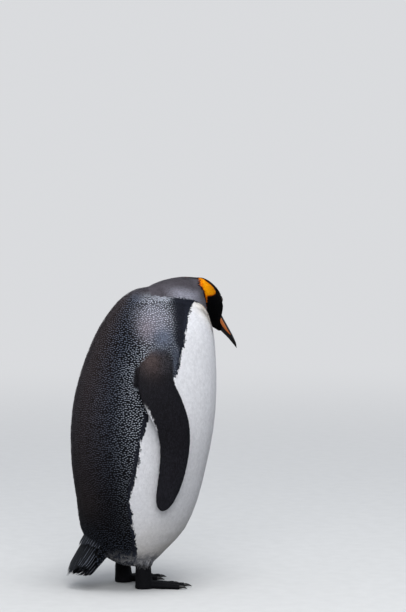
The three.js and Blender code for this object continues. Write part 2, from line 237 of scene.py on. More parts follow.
def map_uv(mesh, faces, **layers):
    """UV maps by name, from a place for each point of the mesh."""
    corners = np.concatenate([f.ravel() for f in faces])
    for name, places in layers.items():
        mesh.uv_layers.new(name=name).uv.foreach_set("vector", places[corners].astype(np.float32).ravel())


def spread(u, v):
    """Both coordinates stretched over the square of a UV map, with a margin."""
    margin = 0.03
    both = np.stack([u, v], -1).astype(float)
    low, high = both.min(0), both.max(0)
    return margin + (1 - 2 * margin) * (both - low) / np.maximum(high - low, 1e-9)


def mesh_arrays(mesh):
    points = np.zeros(len(mesh.vertices) * 3, np.float32)
    mesh.vertices.foreach_get("co", points)
    mesh.calc_loop_triangles()
    triangles = np.zeros(len(mesh.loop_triangles) * 3, np.int32)
    mesh.loop_triangles.foreach_get("vertices", triangles)
    return points.reshape(-1, 3).astype(float), triangles.reshape(-1, 3)


def edges_of(triangles):
    pairs = np.concatenate([triangles[:, [0, 1]], triangles[:, [1, 2]], triangles[:, [2, 0]]])
    return np.unique(np.sort(pairs, axis=1), axis=0)


def normals_of(points, triangles):
    a, b, c = (points[triangles[:, n]] for n in range(3))
    face = np.cross(b - a, c - a)
    total = np.zeros_like(points)
    for corner in range(3):
        for axis in range(3):
            total[:, axis] += np.bincount(triangles[:, corner], face[:, axis], len(points))
    return unit(total)


def relax(values, edges, times, strength=0.5):
    """Each value drawn towards the mean of its neighbours' values, so many times."""
    values = values.reshape(len(values), -1).copy()
    i, j = edges.T
    count = np.maximum(np.bincount(i, minlength=len(values)) + np.bincount(j, minlength=len(values)), 1)
    strength = np.broadcast_to(strength, len(values))
    for _ in range(times):
        for k in range(values.shape[1]):
            around = np.bincount(i, values[j, k], len(values)) + np.bincount(j, values[i, k], len(values))
            values[:, k] += strength * (around / count - values[:, k])
    return values


def smoothed(points, edges, times, strength):
    """The points without their facets. The second pass gives back what the first one shrank."""
    once = relax(points, edges, times, strength)
    return once + relax(points - once, edges, times, strength)


# ---- The skin ----

GROWTH = 0.0005  # closes the thin cuts between the solids
BODY_VOXEL = 0.00326
FOOT_VOXEL = 0.0016
FLIPPER_SPLIT = 452  # the height where the body's own shell hands a flipper over to a finer one
STUB_BELOW, BLADE_ABOVE = 16, 26  # how far each of the two shells runs on past that height, in millimetres
BILL_CORE_END = 92  # how far the skin reaches along inside the bill, from the head's middle
TAIL_STUB_REAR = 117
COVERTS_END = 109  # how far back the small feathers over the tail take root
# How high the coat stands on each part, in millimetres. The skin lies that much inside the solids.
COAT_HEIGHT = {"trunk": 1.9, "neck": 1.3, "head": 0.8, "bill": 1.6, "flipper": 0.9, "leg": 2.6, "tail": 3.0,
               "foot": 1.0}
FRONT_HEIGHT = 1.2  # of the smooth white front
# How strongly the skin's facets are smoothed on each part.
SOFTNESS = {"trunk": 0.6, "neck": 0.4, "head": 0.2, "bill": 0.1, "flipper": 0.3, "leg": 0.4, "tail": 0.4,
            "foot": 0.3}
SMOOTH_ROUNDS = 42
FOOT_ROUNDS, FOOT_SOFTNESS = 14, 0.4  # the same for the feet's own shells
MOST_MOVED = 0.004  # how far at most the smoothed skin is moved back to the solids, in one pass
MOVE_ROUNDS = 36  # of smoothing of that move
CHIN_TUCK = 6  # millimetres
FOOT_LIFT = 0.014  # how far a foot's top is drawn up into the shank
FLOOR_GAP = 0.0002  # the least height over the floor
# The solids that shape the skin. Each name starts with its kind.
SKIN_NODES = ["trunk", "neck", "head", "tail", "bill_upper", "bill_lower"]
SKIN_NODES += [f"{part}_{side}" for part in ("bill_plate", "flipper", "leg", "foot") for side in SIDES]


def kind_of(node):
    return node.split("_")[0]


def cad_solid(name, keep_side=None):
    """A CAD node as a closed bmesh, and if keep_side gives a point and a direction, cut off beyond it."""
    solid = bmesh.new()
    solid.from_mesh(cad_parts[name].data)
    bmesh.ops.remove_doubles(solid, verts=solid.verts, dist=2e-5)
    bmesh.ops.recalc_face_normals(solid, faces=solid.faces)
    solid.normal_update()
    for vert in solid.verts:
        vert.co += vert.normal * GROWTH
    if keep_side:
        point, way = keep_side
        everything = [*solid.verts, *solid.edges, *solid.faces]
        bmesh.ops.bisect_plane(solid, geom=everything, plane_co=point, plane_no=way, clear_outer=True)
        bmesh.ops.holes_fill(solid, edges=[e for e in solid.edges if e.is_boundary], sides=0)
    return solid


def joined(solids, kind, **settings):
    """The points and triangles of the solids as one mesh, after one modifier."""
    whole = bmesh.new()
    for solid in solids:
        part = bpy.data.meshes.new("part")
        solid.to_mesh(part)
        solid.free()
        whole.from_mesh(part)
        bpy.data.meshes.remove(part)
    mesh = bpy.data.meshes.new("whole")
    whole.to_mesh(mesh)
    whole.free()
    holder = new_object("holder", mesh)
    modifier = holder.modifiers.new("change", kind)
    for key, value in settings.items():
        setattr(modifier, key, value)
    made = evaluated(holder)
    bpy.data.objects.remove(holder)
    return mesh_arrays(made)


class Nearest:
    """Finds which kind of CAD node is nearest to each point, and where."""

    def __init__(self):
        points, faces, self.kind = [], [], []
        for name in SKIN_NODES:
            own, triangles = mesh_arrays(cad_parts[name].data)
            faces += (triangles + len(points)).tolist()
            points += own.tolist()
            self.kind += [kind_of(name)] * len(triangles)
        self.tree = BVHTree.FromPolygons(points, faces)

    def kinds(self, points):
        return np.array([self.kind[self.tree.find_nearest(Vector(p))[2]] for p in points])

    def places(self, points):
        return np.array([self.tree.find_nearest(Vector(p))[0][:] for p in points])


NEAREST = Nearest()


def body_shell():
    beyond_bill = (from_head([BILL_CORE_END, 0, 0]), HEAD_AXES[0])
    below_flipper = (from_body(0, 0, FLIPPER_SPLIT - STUB_BELOW), (0, 0, -1))
    solids = [cad_solid(name) for name in ("trunk", "neck", "head", "leg_left", "leg_right")]
    solids += [cad_solid(name, beyond_bill) for name in SKIN_NODES if kind_of(name) == "bill"]
    solids += [cad_solid(f"flipper_{side}", below_flipper) for side in SIDES]
    solids.append(cad_solid("tail", (from_body(0, -TAIL_STUB_REAR, 0), (0, 1, 0))))
    points, triangles = joined(solids, "REMESH", mode="VOXEL", voxel_size=BODY_VOXEL)
    edges = edges_of(triangles)
    kinds = NEAREST.kinds(points)
    softness = relax(np.array([SOFTNESS[k] for k in kinds]), edges, 6)[:, 0]
    points = smoothed(points, edges, SMOOTH_ROUNDS, softness)
    for _ in range(2):
        normals = normals_of(points, triangles)
        short = ((NEAREST.places(points) - points) * normals).sum(1)
        points += normals * relax(np.clip(short, -MOST_MOVED, MOST_MOVED), edges, MOVE_ROUNDS)
    _, front, z = to_body(points)
    height = np.array([COAT_HEIGHT[k] for k in kinds])
    height[(kinds == "trunk") & (front > table(WHITE_EDGE, z))] = FRONT_HEIGHT
    height = relax(height, edges, 14)[:, 0]
    height += 4 * (kinds == "flipper") * fall(FLIPPER_SPLIT - 14, FLIPPER_SPLIT + 4, z)
    points -= normals_of(points, triangles) * height[:, None] * MM
    # Under the bill the chin's last thin end is tucked up into the horn
    x, y, up = to_head(points)
    tuck = step(90, 99, x) * step(6, 14, table(BILL_ROWS, x) - up) * (np.hypot(y, up) < 40)
    return points + HEAD_AXES[2] * (CHIN_TUCK * MM * tuck)[:, None], triangles


def flipper_shell(side):
    above_split = (from_body(0, 0, FLIPPER_SPLIT + BLADE_ABOVE), (0, 0, 1))
    solid = cad_solid(f"flipper_{side}", above_split)
    points, triangles = joined([solid], "SUBSURF", levels=2, render_levels=2)
    points = relax(points, edges_of(triangles), 4)
    z = points[:, 2] / MM
    height = COAT_HEIGHT["flipper"] * (0.55 + 0.45 * step(190, 300, z))
    height += 3 * step(FLIPPER_SPLIT - 6, FLIPPER_SPLIT + 22, z)
    return points - normals_of(points, triangles) * height[:, None] * MM, triangles


def foot_shell(side):
    points, triangles = joined([cad_solid(f"foot_{side}")], "REMESH", mode="VOXEL", voxel_size=FOOT_VOXEL)
    points = smoothed(points, edges_of(triangles), FOOT_ROUNDS, FOOT_SOFTNESS)
    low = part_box(f"leg_{side}")[0]
    rise = step(low.z - 0.008, low.z + 0.004, points[:, 2])
    points[:, 2] = np.maximum(points[:, 2] + rise * FOOT_LIFT, FLOOR_GAP)
    return points, triangles


def united(shells):
    """Several closed shells that cross, as the points and triangles of one."""
    objects = [new_object("shell", make_mesh("shell", points, [triangles])) for points, triangles in shells]
    for other in objects[1:]:
        modifier = objects[0].modifiers.new("join", "BOOLEAN")
        modifier.operation = "UNION"
        modifier.solver = "MANIFOLD"
        modifier.object = other
    made = evaluated(objects[0])
    for shell in objects:
        bpy.data.objects.remove(shell)
    return mesh_arrays(made)


# ---- Markings ----

# The heights of the white front's edge, and how far in front of the body's axis it lies at each.
WHITE_EDGE = [(45, -30), (83, -37), (143, -49), (181, -56), (209, -57), (232, -51), (273, -44), (318, -38),
              (350, -27), (377, -17), (420, 14), (456, 43), (478, 53), (505, 60), (531, 66), (552, 70),
              (570, 76), (584, 83), (596, 90), (603, 98), (607, 107), (640, 140)]
# The rear edge of the black band that runs down from the neck in front of the shoulder.
BAND_REAR = [(45, -42), (209, -66), (318, -46), (377, -30), (430, 20), (456, 37), (470, 42), (491, 47),
             (512, 51), (543, 47), (567, 50), (583, 51), (603, 56), (622, 52)]
# The crease under the bent neck: its height at each distance in front of the axis.
CREASE = [(10, 622), (28, 620.5), (60, 617.5), (82, 615), (101, 612), (115, 607), (122, 602.8), (129, 597),
          (133, 592.8), (141, 583), (150, 572)]
# Round the head, at angles above its side, how far along it the black hood ends.
HOOD_REAR = [(-90, 2), (-78, -4), (-69, -11), (-64, -17.5), (-60, -24), (-56, -29), (-51, -34.5), (-42, -42),
             (-31, -48), (-14, -53), (13, -55.5), (45, -56), (68, -54), (90, -52)]
# The outline of the orange patch on either side of it: along the head, and the angle above its side.
PATCH = [(-51, 80), (-54, 66), (-54.8, 45), (-53.6, 10), (-51, -10), (-44.8, -30.5), (-39, -40), (-33, -48),
         (-27.5, -54), (-21, -60.5), (-14, -66.5), (-13, -66), (-23, -57), (-29, -49.8), (-33.6, -42),
         (-37, -34), (-34, -27), (-28.5, -19.5), (-22, -11), (-17, -1), (-15.2, 8), (-17.5, 14), (-24, 21),
         (-32, 26), (-39.5, 32), (-44.8, 43), (-47, 58), (-48, 75)]
HEAD_BREADTH = 32  # millimetres, for lengths round the head
HEAD_REACH = 60  # how far from the head's own line the hood and the patch may lie, in millimetres
THROAT = (0, 138, 600)  # side, front, height
# The dark top of a flipper, seen from its side: distances in front of the axis, and heights.
FLIPPER_TOP = [(-50, 434), (-49, 457), (-43, 477), (-36, 488), (-25, 500), (-18, 514), (-7, 524), (11, 527),
               (28, 526), (38, 521), (38, 505), (37, 492), (37, 470), (37, 450), (36, 434)]
# Heights from a flipper's tip up, with its middle line's front and side, and half its breadth.
FLIPPER_LINE = [(180, 3.5, 148.5, 6), (206, 10, 151, 22), (235, 18, 153.5, 27.5), (270, 25, 155, 31),
                (312, 30, 154.5, 34), (354, 27, 152, 38), (392, 14, 147, 41.5), (428, -2, 138, 43.5),
                (462, -8, 124, 38), (505, 0, 102, 31)]

WHITE = colour(233, 233, 236)
CREAM = colour(252, 243, 228)
# a dusty, darker white: partly dirt and partly painted shade
DUSTY_AND_SHADED = colour(206, 200, 192)
BACK_BASE = colour(13, 15, 21)
BACK_TIP = colour(104, 112, 130)
FLANK_TIP = colour(232, 240, 252)
BROWNED = colour(86, 72, 69)
BAND = colour(32, 34, 43)
NECK = colour(84, 80, 86)
# Painted sheen and highlights: a silvery sheen, a pale shine and a blue-grey sheen by the elbow
SILVER_SHEEN = colour(186, 186, 200)
SHINE = colour(160, 150, 160)
ELBOW_SHEEN = colour(106, 113, 130)
CHARCOAL = colour(106, 104, 111)
HOOD = colour(3, 3, 5)
HOOD_TIP = colour(11, 11, 15)
ORANGE = colour(255, 176, 6)
ORANGE_RIM = colour(232, 112, 0)
FLIPPER_DARK = colour(24, 23, 28)
FLIPPER_TIP = colour(50, 50, 57)
FOOT = colour(16, 16, 19)
# The shoulder's painted sheen and highlights: colour, share of it at the base and at the tip, place and
# reach in front of the axis, height and reach there, strength, and how square the spot is.
SHOULDER_SHEENS = [(SILVER_SHEEN, 0.4, 1.5, 6, 32, 574, 34, 0.95, 2), (SHINE, 0.6, 1.25, -12, 18, 553, 24, 0.8, 2),
                  (ELBOW_SHEEN, 0.75, 1.35, 19, 24, 536, 20, 1.15, 2), (ELBOW_SHEEN, 0.35, 0.75, 44, 13, 490, 34, 1, 4)]


def outline_depth(outline, u, v, scale):
    """How deep (u, v) lies inside a closed outline, negative outside it. scale turns v into millimetres."""
    corners = np.array(outline, float)
    corners[:, 1] *= scale
    v = v * scale
    inside = np.zeros(len(u), bool)
    least = np.full(len(u), np.inf)
    for (a0, a1), (b0, b1) in zip(corners, np.roll(corners, -1, 0)):
        crosses = (a1 > v) != (b1 > v)
        inside ^= crosses & (u < (b0 - a0) * (v - a1) / (b1 - a1 + 1e-9) + a0)
        span = np.array([b0 - a0, b1 - a1])
        t = np.clip(((u - a0) * span[0] + (v - a1) * span[1]) / (span @ span), 0, 1)
        least = np.minimum(least, np.hypot(u - a0 - t * span[0], v - a1 - t * span[1]))
    return np.where(inside, least, -least)


def flipper_top(side, front, z):
    """The share of a flipper's dark plumage, over its shoulder."""
    depth = outline_depth(FLIPPER_TOP, front, z, 1)
    return step(-3, 3 + 15 * step(484, 516, z), depth) * step(80, 96, np.abs(side))


def flipper_middle(z):
    return table(FLIPPER_LINE, z, 2)


def flipper_across(front, z):
    """-1 at a flipper's rear edge, and 1 at its leading edge."""
    return (front - table(FLIPPER_LINE, z)) / table(FLIPPER_LINE, z, 3)


class Markings:
    """The colours of the feathers at some points, at their base and at their tip."""

    def __init__(self, points, kinds):
        self.points, self.kinds = points, kinds
        self.side, self.front, self.z = to_body(points)
        self.out = np.abs(self.side)
        self.lumps, self.fine = cloud(points, 0.03, 1), cloud(points, 0.006, 2)
        self.above = self.z - table(CREASE, self.front)
        # The band and the white front go up to the crease, and everywhere on the body below it
        self.under = np.where(self.z < 570, 1, step(-1, 1, -self.above) * step(6, 20, self.front))
        for part in (self.back, self.shoulder, self.neck, self.band, self.white, self.hood, self.flippers,
                     self.legs):
            part()

    def lay(self, base, tip, share):
        """Blends a colour over that of the base, and one over that of the tip."""
        self.base, self.tip = blend(self.base, base, share), blend(self.tip, tip, share)

    def back(self):
        """Dark, with pale tips that grow towards the flanks, and browned and lighter along the middle, partly
        a painted rim light.
        """
        z, around = self.z, np.degrees(np.arctan2(self.out, -self.front))  # 0 behind, 90 at the side
        flank = step(44, 88, around - 14 * step(470, 560, z)) * step(60, 360, z) * (0.75 + 0.5 * self.lumps)
        flank *= 0.75 + 0.4 * step(220, 400, z)
        rising, mantle = step(90, 420, z), step(420, 520, z)
        plain = BACK_TIP * (0.08 + 0.8 * rising + 0.25 * mantle + fall(90, 170, z) * 0.4)[:, None]
        # along the middle of the back the feathers are lighter and brown: partly a painted rim light
        rear = fall(14, 56, around) * (0.55 + 0.4 * step(200, 560, z)) * step(110, 200, z)
        self.base = BACK_BASE * (0.2 + 0.7 * rising - 0.45 * mantle)[:, None]
        self.base = blend(self.base, BROWNED * 0.45, rear * 0.6)
        self.tip = blend(blend(plain, FLANK_TIP, np.clip(flank, 0, 1) * 0.95), BROWNED, rear * 0.75)

    def shoulder(self):
        """Painted sheen and highlights over the silvery shoulder, with darker spots where the flipper leaves
        it.
        """
        over = step(20, 60, self.out)
        for tone, dark, light, front, length, z, height, strength, power in SHOULDER_SHEENS:
            spot = bell(self.front, front, length, power) * bell(self.z, z, height, power) * over
            self.lay(tone * dark, tone * light, np.clip(spot * strength, 0, 1))

    def neck(self):
        """Grey, with a silvery painted highlight along the crease under it."""
        front, z = self.front, self.z
        crossed = step(-2, 2, self.above) * step(-2, 14, front)
        # a painted highlight where the bent neck bulges over the crease
        crease_highlight = fall(3, 30, self.above) * step(30, 80, front) * (1 - 0.6 * step(108, 126, front))
        tone = blend(NECK, SILVER_SHEEN, crease_highlight * 0.85)
        self.lay(tone * 0.7, tone * 1.08, np.maximum(crossed, step(609, 632, z) * step(-60, 0, front)))

    def band(self):
        """The black band, and the line that goes on from it under the neck's crease."""
        z = self.z
        fade = 3 + 2 * step(400, 470, z) + 12 * step(510, 550, z)
        share = step(-fade, fade * 0.8, self.front - table(BAND_REAR, z) + (self.lumps - 0.5) * 6)
        self.lay(BAND * 0.8, BAND * 1.25, self.under * (1 - (1 - share) ** (1 + step(500, 540, z))))

    def white(self):
        """The white front, creamy and with painted light at the throat, dusty and darker with painted shade
        at the hem, and with painted shade over its lower front.
        """
        front, z = self.front, self.z
        ragged = (self.lumps - 0.5) * (7 - 4 * step(480, 560, z)) + (self.fine - 0.5) * 5
        line = 3.6 - 2.8 * step(103, 124, front)  # how far under the crease the white starts
        share = self.under * step(line - 1, line + 1, -self.above)
        share = share * step(-1.2, 1.2, front - (table(WHITE_EDGE, z) + ragged))
        throat = fall(30, 92, lengths(self.points - from_body(*THROAT)) / MM)
        # besides its cream, the throat is made lighter: painted light against the shade under the chin
        tone = blend(WHITE, CREAM, throat * 0.5) * (1 + 0.13 * throat)[:, None]
        tone = blend(tone, ORANGE, fall(0, 2.6, -self.above - line) * step(116, 124, front) * 0.4)
        # towards the hem the white is dusty and darker: partly dirt and partly painted shade
        dust_and_shade = fall(60, 190, z) * (0.6 + 0.5 * self.lumps)
        # painted shade over the lower front of the belly, which faces down and away from the light
        painted_front_shade = step(20, 110, front + 60 * fall(100, 260, z)) * fall(250, 480, z)
        tone = blend(tone, DUSTY_AND_SHADED, np.clip(dust_and_shade, 0, 1) * 0.7) * (1 - 0.13 * painted_front_shade)[:, None]
        self.lay(tone * 0.97, tone, share)

    def hood(self):
        """The black hood, with the orange patch on each side."""
        x, y, up = to_head(self.points)
        off_line, angle = np.hypot(y, up), np.degrees(np.arctan2(up, np.abs(y)))
        turned = y > 0  # the side the head is turned to, where the neck bulges up under both
        on_head = np.isin(self.kinds, ("head", "neck", "bill"))
        on_head &= off_line < HEAD_REACH + 9 * turned * step(2, 14, angle)
        self.lay(HOOD * 0.8, HOOD_TIP, on_head * step(-1.2, 0.2, x - table(HOOD_REAR, angle)))
        lifted = angle + 20 * turned * step(30, 56, angle)
        deep = outline_depth(PATCH, x, lifted, math.radians(HEAD_BREADTH))
        near = (self.kinds != "trunk") & (off_line < HEAD_REACH + 12 * turned)
        tone = blend(ORANGE_RIM, ORANGE, step(0, 4, deep) * (0.7 + 0.3 * self.lumps))
        self.lay(tone * 0.8, tone * 1.12, near * step(-0.6, 0.8, deep))

    def flippers(self):
        """Dark outside, white inside, with a white rear edge."""
        front, z = self.front, self.z
        across = flipper_across(front, z)
        inner = step(0, 3, flipper_middle(z) - self.out) * fall(380, 412, z)
        rim = step(0.94, 1.0, -across) * fall(384, 408, z) * step(200, 222, z)
        pale = np.clip(inner * fall(0.35, 0.7, across) + rim, 0, 1)
        dark = blend(FLIPPER_DARK, BROWNED * 1.3, bell(front, -14, 24) * bell(z, 494, 30) * 0.7)
        # towards the flipper's tip the feather tips are lighter, a painted sheen
        tip = blend(dark * 2.1, FLIPPER_TIP * (1 + 2.4 * fall(190, 350, z))[:, None], 0.5)
        tip = blend(tip, CHARCOAL, bell(front, 22, 16) * bell(z, 498, 34) * 0.7)
        # the shoulder's painted sheen, carried down over the flipper's top
        shoulder = step(496, 528, z) * 0.65
        dark, tip = blend(dark, ELBOW_SHEEN, shoulder), blend(tip, ELBOW_SHEEN, shoulder)
        top = flipper_top(self.side, front, z + (self.lumps - 0.5) * 8)
        share = np.maximum((self.kinds == "flipper") * fall(452, 466, z), top)
        self.lay(blend(dark * 0.55, WHITE * 0.8, pale), blend(tip, WHITE * 0.92, pale), share)

    def legs(self):
        """A mottled hem over dark shanks and feet."""
        front, z, foot = self.front, self.z, self.kinds == "foot"
        hem = fall(62, 92, z) * step(-98, -78, front) * ~foot * (1 - 0.75 * step(0, 50, front)) * 0.75
        mottled = blend(BACK_TIP * 0.6, WHITE * 0.62, step(0.3, 0.75, self.fine))
        self.lay(mottled * 0.6, mottled, hem)
        self.lay(FOOT, FOOT * 2, (self.kinds == "leg") * fall(44, 62, z) * 0.85)
        self.lay(FOOT, FOOT * 1.3, foot * 1.0)


# ---- The lie of the coat ----

# Points along the body's middle, from the head to the trunk (side, front and height in millimetres), each
# with the way the feathers lie there and how far it governs.
LIE = [
    ((8, 100, 613), (-0.25, -1, 0.15), 34), ((2, 64, 605), (0, -1, 0), 40), ((0, 30, 590), (0, -1, -0.5), 44),
    ((0, 0, 560), (0, -0.35, -1), 55), ((0, 0, 500), (0, 0, -1), 60), ((0, 0, 420), (0, 0, -1), 80),
    ((0, 0, 300), (0, 0, -1), 90), ((0, 0, 180), (0, 0, -1), 80), ((0, -100, 80), (0, -1, -0.85), 34),
]
# On the head they lie straight back: how far round its middle, over how much that fades, and its weight.
HEAD_CORE, HEAD_FADE, HEAD_WEIGHT = 20, 24, 1.6
CROWD = 5  # tries for each spot that is filled
EVEN_REACH = 1.3  # the spots push each other apart within this many gaps
EVEN_PUSH = 0.22  # and by this share of what they overlap
LEAST_COAT, MOST_COAT = 0.0005, 0.005  # how high the coat may stand
ROOT_SINK = 0.0004  # how deep a vane's root lies in the skin


def lie_of(points, normals):
    """The direction of the feathers at points on the skin."""
    total = np.zeros_like(points)
    for place, way, reach in LIE:
        distance = lengths(points - from_body(*map(float, place))) / MM
        way = unit(np.array([way[0], -way[1], way[2]], float))
        total += way * np.exp(-((distance / reach) ** 2) / 2)[:, None]
    distance = lengths(points - HEAD_MIDDLE) / MM
    on_head = np.exp(-((np.maximum(distance - HEAD_CORE, 0) / HEAD_FADE) ** 2) / 2)
    total += -HEAD_AXES[0] * on_head[:, None] * HEAD_WEIGHT
    total[:, 2] -= 1e-4
    total -= normals * (total * normals).sum(1)[:, None]
    return unit(total)


def scattered(points, triangles, spacing, keep):
    """Spots strewn evenly over triangles, and their gaps. spacing gives metres at a place."""
    a, b, c = (points[triangles[:, n]] for n in range(3))
    area = lengths(np.cross(b - a, c - a)) / 2
    gap = spacing((a + b + c) / 3)
    wanted = area / (gap ** 2) * keep((a + b + c) / 3) * CROWD
    total = int(wanted.sum())
    chosen = CHANCE.choice(len(triangles), total, p=wanted / wanted.sum())
    u, v = CHANCE.random((2, total))
    flip = u + v > 1
    u, v = np.where(flip, 1 - u, u), np.where(flip, 1 - v, v)
    spots = a[chosen] + (b - a)[chosen] * u[:, None] + (c - a)[chosen] * v[:, None]
    gaps = gap[chosen]
    # A grid for each size of gap, so that only the cells around a spot have to be searched
    level = np.round(np.log2(gaps / MM) * 2).astype(int)
    cell_size = MM * 2 ** ((level + 0.5) / 2)
    cells = np.floor(spots / cell_size[:, None]).astype(int).tolist()
    rows = zip(spots.tolist(), cells, level.tolist(), (gaps * gaps).tolist())
    around = [(i - 1, j - 1, k - 1) for i, j, k in np.ndindex(3, 3, 3)]
    grid, taken = {}, []
    for n, (spot, (i, j, k), size, least) in enumerate(rows):
        x, y, z = spot
        near = (other for di, dj, dk in around for other in grid.get((size, i + di, j + dj, k + dk), ()))
        if all((p - x) ** 2 + (q - y) ** 2 + (r - z) ** 2 >= least for p, q, r in near):
            grid.setdefault((size, i, j, k), []).append(spot)
            taken.append(n)
    return spots[taken], gaps[taken]


class Surface:
    """The skin, for finding the place on it and the outward direction nearest to a point."""

    def __init__(self, points, triangles):
        self.tree = BVHTree.FromPolygons(points.tolist(), triangles.tolist())
        self.normals = normals_of(points, triangles)
        self.triangles = triangles
        depth = ((NEAREST.places(points) - points) * self.normals).sum(1)
        self.height = relax(np.clip(depth, LEAST_COAT, MOST_COAT), edges_of(triangles), 5)[:, 0]

    def nearest(self, spots):
        """Places on the skin, the outward directions there, and how high the coat stands, in metres."""
        found = [self.tree.find_nearest(Vector(p)) for p in spots]
        places = np.array([f[0][:] for f in found])
        corners = self.triangles[[f[2] for f in found]]
        return places, unit(self.normals[corners].mean(1)), self.height[corners].mean(1)

    def evened(self, spots, gaps, rounds):
        """The spots pushed apart until they lie about as evenly as scales."""
        for _ in range(rounds):
            tree = KDTree(len(spots))
            for n, spot in enumerate(spots):
                tree.insert(spot, n)
            tree.balance()
            near = np.array([[f[1] for f in tree.find_n(Vector(spot), 8)] for spot in spots])[:, 1:]
            apart = spots[:, None] - spots[near]
            distance = np.maximum(lengths(apart), 1e-6)
            push = np.maximum(gaps[:, None] * EVEN_REACH - distance, 0) / distance
            spots = self.nearest(spots + (apart * push[:, :, None]).sum(1) * EVEN_PUSH)[0]
        return spots


BAKE_PATCH = 0.003  # how much of the whole body's UV map one vane or scale takes


def crisp_rims(mesh, tip):
    """Marks the vanes' rims as sharp, so that they look thin. tip is the number of each vane's last point."""
    ends = np.zeros(len(mesh.edges) * 2, np.int32)
    mesh.edges.foreach_get("vertices", ends)
    own = ends.reshape(-1, 2) % (tip + 1)
    on_left, on_right = (((own % 3 == column) | (own == tip)).all(axis=1) for column in (0, 2))
    mesh.attributes.new("sharp_edge", "BOOLEAN", "EDGE").data.foreach_set("value", on_left | on_right)


def feathers(name, spine, normals, widths, camber, colours, unwrap, material, slot):
    """Closed vanes. spine is (vanes, rows, 3), its last row the tip, and the colours go along it."""
    count, rows = spine.shape[:2]
    across = unit(np.cross(unit(np.gradient(spine, axis=1)), normals))
    full = rows - 1
    tip = full * 3
    points = np.zeros((count, tip + 1, 3))
    place = np.zeros((count, tip + 1, 2))
    corners = [(n, n + 1, n + 2) for n in range(0, tip, 3)]
    for row, (left, mid, right) in enumerate(corners):
        aside = across[:, row] * widths[:, row, None]
        rise = normals[:, row] * camber[:, row, None]
        points[:, left] = spine[:, row] - aside - rise
        points[:, mid] = spine[:, row] + rise
        points[:, right] = spine[:, row] + aside - rise
        place[:, left:right + 1] = [(u, row / full) for u in (0, 0.5, 1)]
    points[:, tip] = spine[:, full]
    place[:, tip] = (0.5, 1)
    quads = []
    for left, mid, right in corners[:-1]:
        quads += [(left, mid, mid + 3, left + 3), (mid, right, right + 3, mid + 3),
                  (left, left + 3, right + 3, right)]
    left, mid, right = corners[-1]
    tris = [(0, 2, 1), (left, mid, tip), (mid, right, tip), (left, tip, right)]
    faces = [repeated(part, count, tip + 1) for part in (quads, tris)]
    mesh = make_mesh(name, points.reshape(-1, 3), faces)
    crisp_rims(mesh, tip)
    paint(mesh, np.concatenate([np.repeat(colours[:, :full], 3, 1), colours[:, full:]], 1).reshape(-1, 3))
    bake = (unwrap[:, None] + (place - 0.5) * BAKE_PATCH).reshape(-1, 2)
    map_uv(mesh, faces, OFBake=bake, Vane=place.reshape(-1, 2))
    add_piece(name, mesh, material, slot)


# How the rows of a vane lie along it, and how broad it is at each.
ROWS = {
    6: ((0, 0.38, 0.79, 0.86, 0.95, 1), (0.45, 0.96, 1, 0.9, 0.58, 0)),
    5: ((0, 0.36, 0.72, 0.9, 1), (0.45, 0.95, 1, 0.66, 0)),
    4: ((0, 0.42, 0.82, 1), (0.5, 1, 0.74, 0)),
}


def lay(spots, gaps, rows, length, breadth, lift, loose):
    """The spines, normals and widths of vanes that lie on the skin. length and breadth are in gaps, and
    lift is how far their tips rise, as a share of the coat's height."""
    shares, profile = ROWS[rows]
    count = len(spots)
    start, normal, _ = SURFACE.nearest(spots)
    way = lie_of(start, normal)
    turn = CHANCE.normal(0, 1, count) * loose
    way = unit(way + np.cross(normal, way) * turn[:, None])
    reach = gaps * length * CHANCE.uniform(0.94, 1.06, count)
    middle, middle_normal, _ = SURFACE.nearest(start + way * reach[:, None] * 0.5)
    end, end_normal, height = SURFACE.nearest(start + way * reach[:, None])
    raised = height * lift * CHANCE.uniform(0.95, 1.05, count)
    spine = np.zeros((count, rows, 3))
    normals = np.zeros_like(spine)
    for row, share in enumerate(shares):
        a, b, c = (1 - share) * (1 - 2 * share), 4 * share * (1 - share), share * (2 * share - 1)
        normals[:, row] = unit(normal * a + middle_normal * b + end_normal * c)
        on_skin = start * a + middle * b + end * c
        lifted = raised * share ** 0.9 - ROOT_SINK * (1 - share)
        spine[:, row] = on_skin + normals[:, row] * lifted[:, None]
    return spine, normals, (gaps * breadth * 0.5)[:, None] * np.array(profile)


# ---- Materials ----

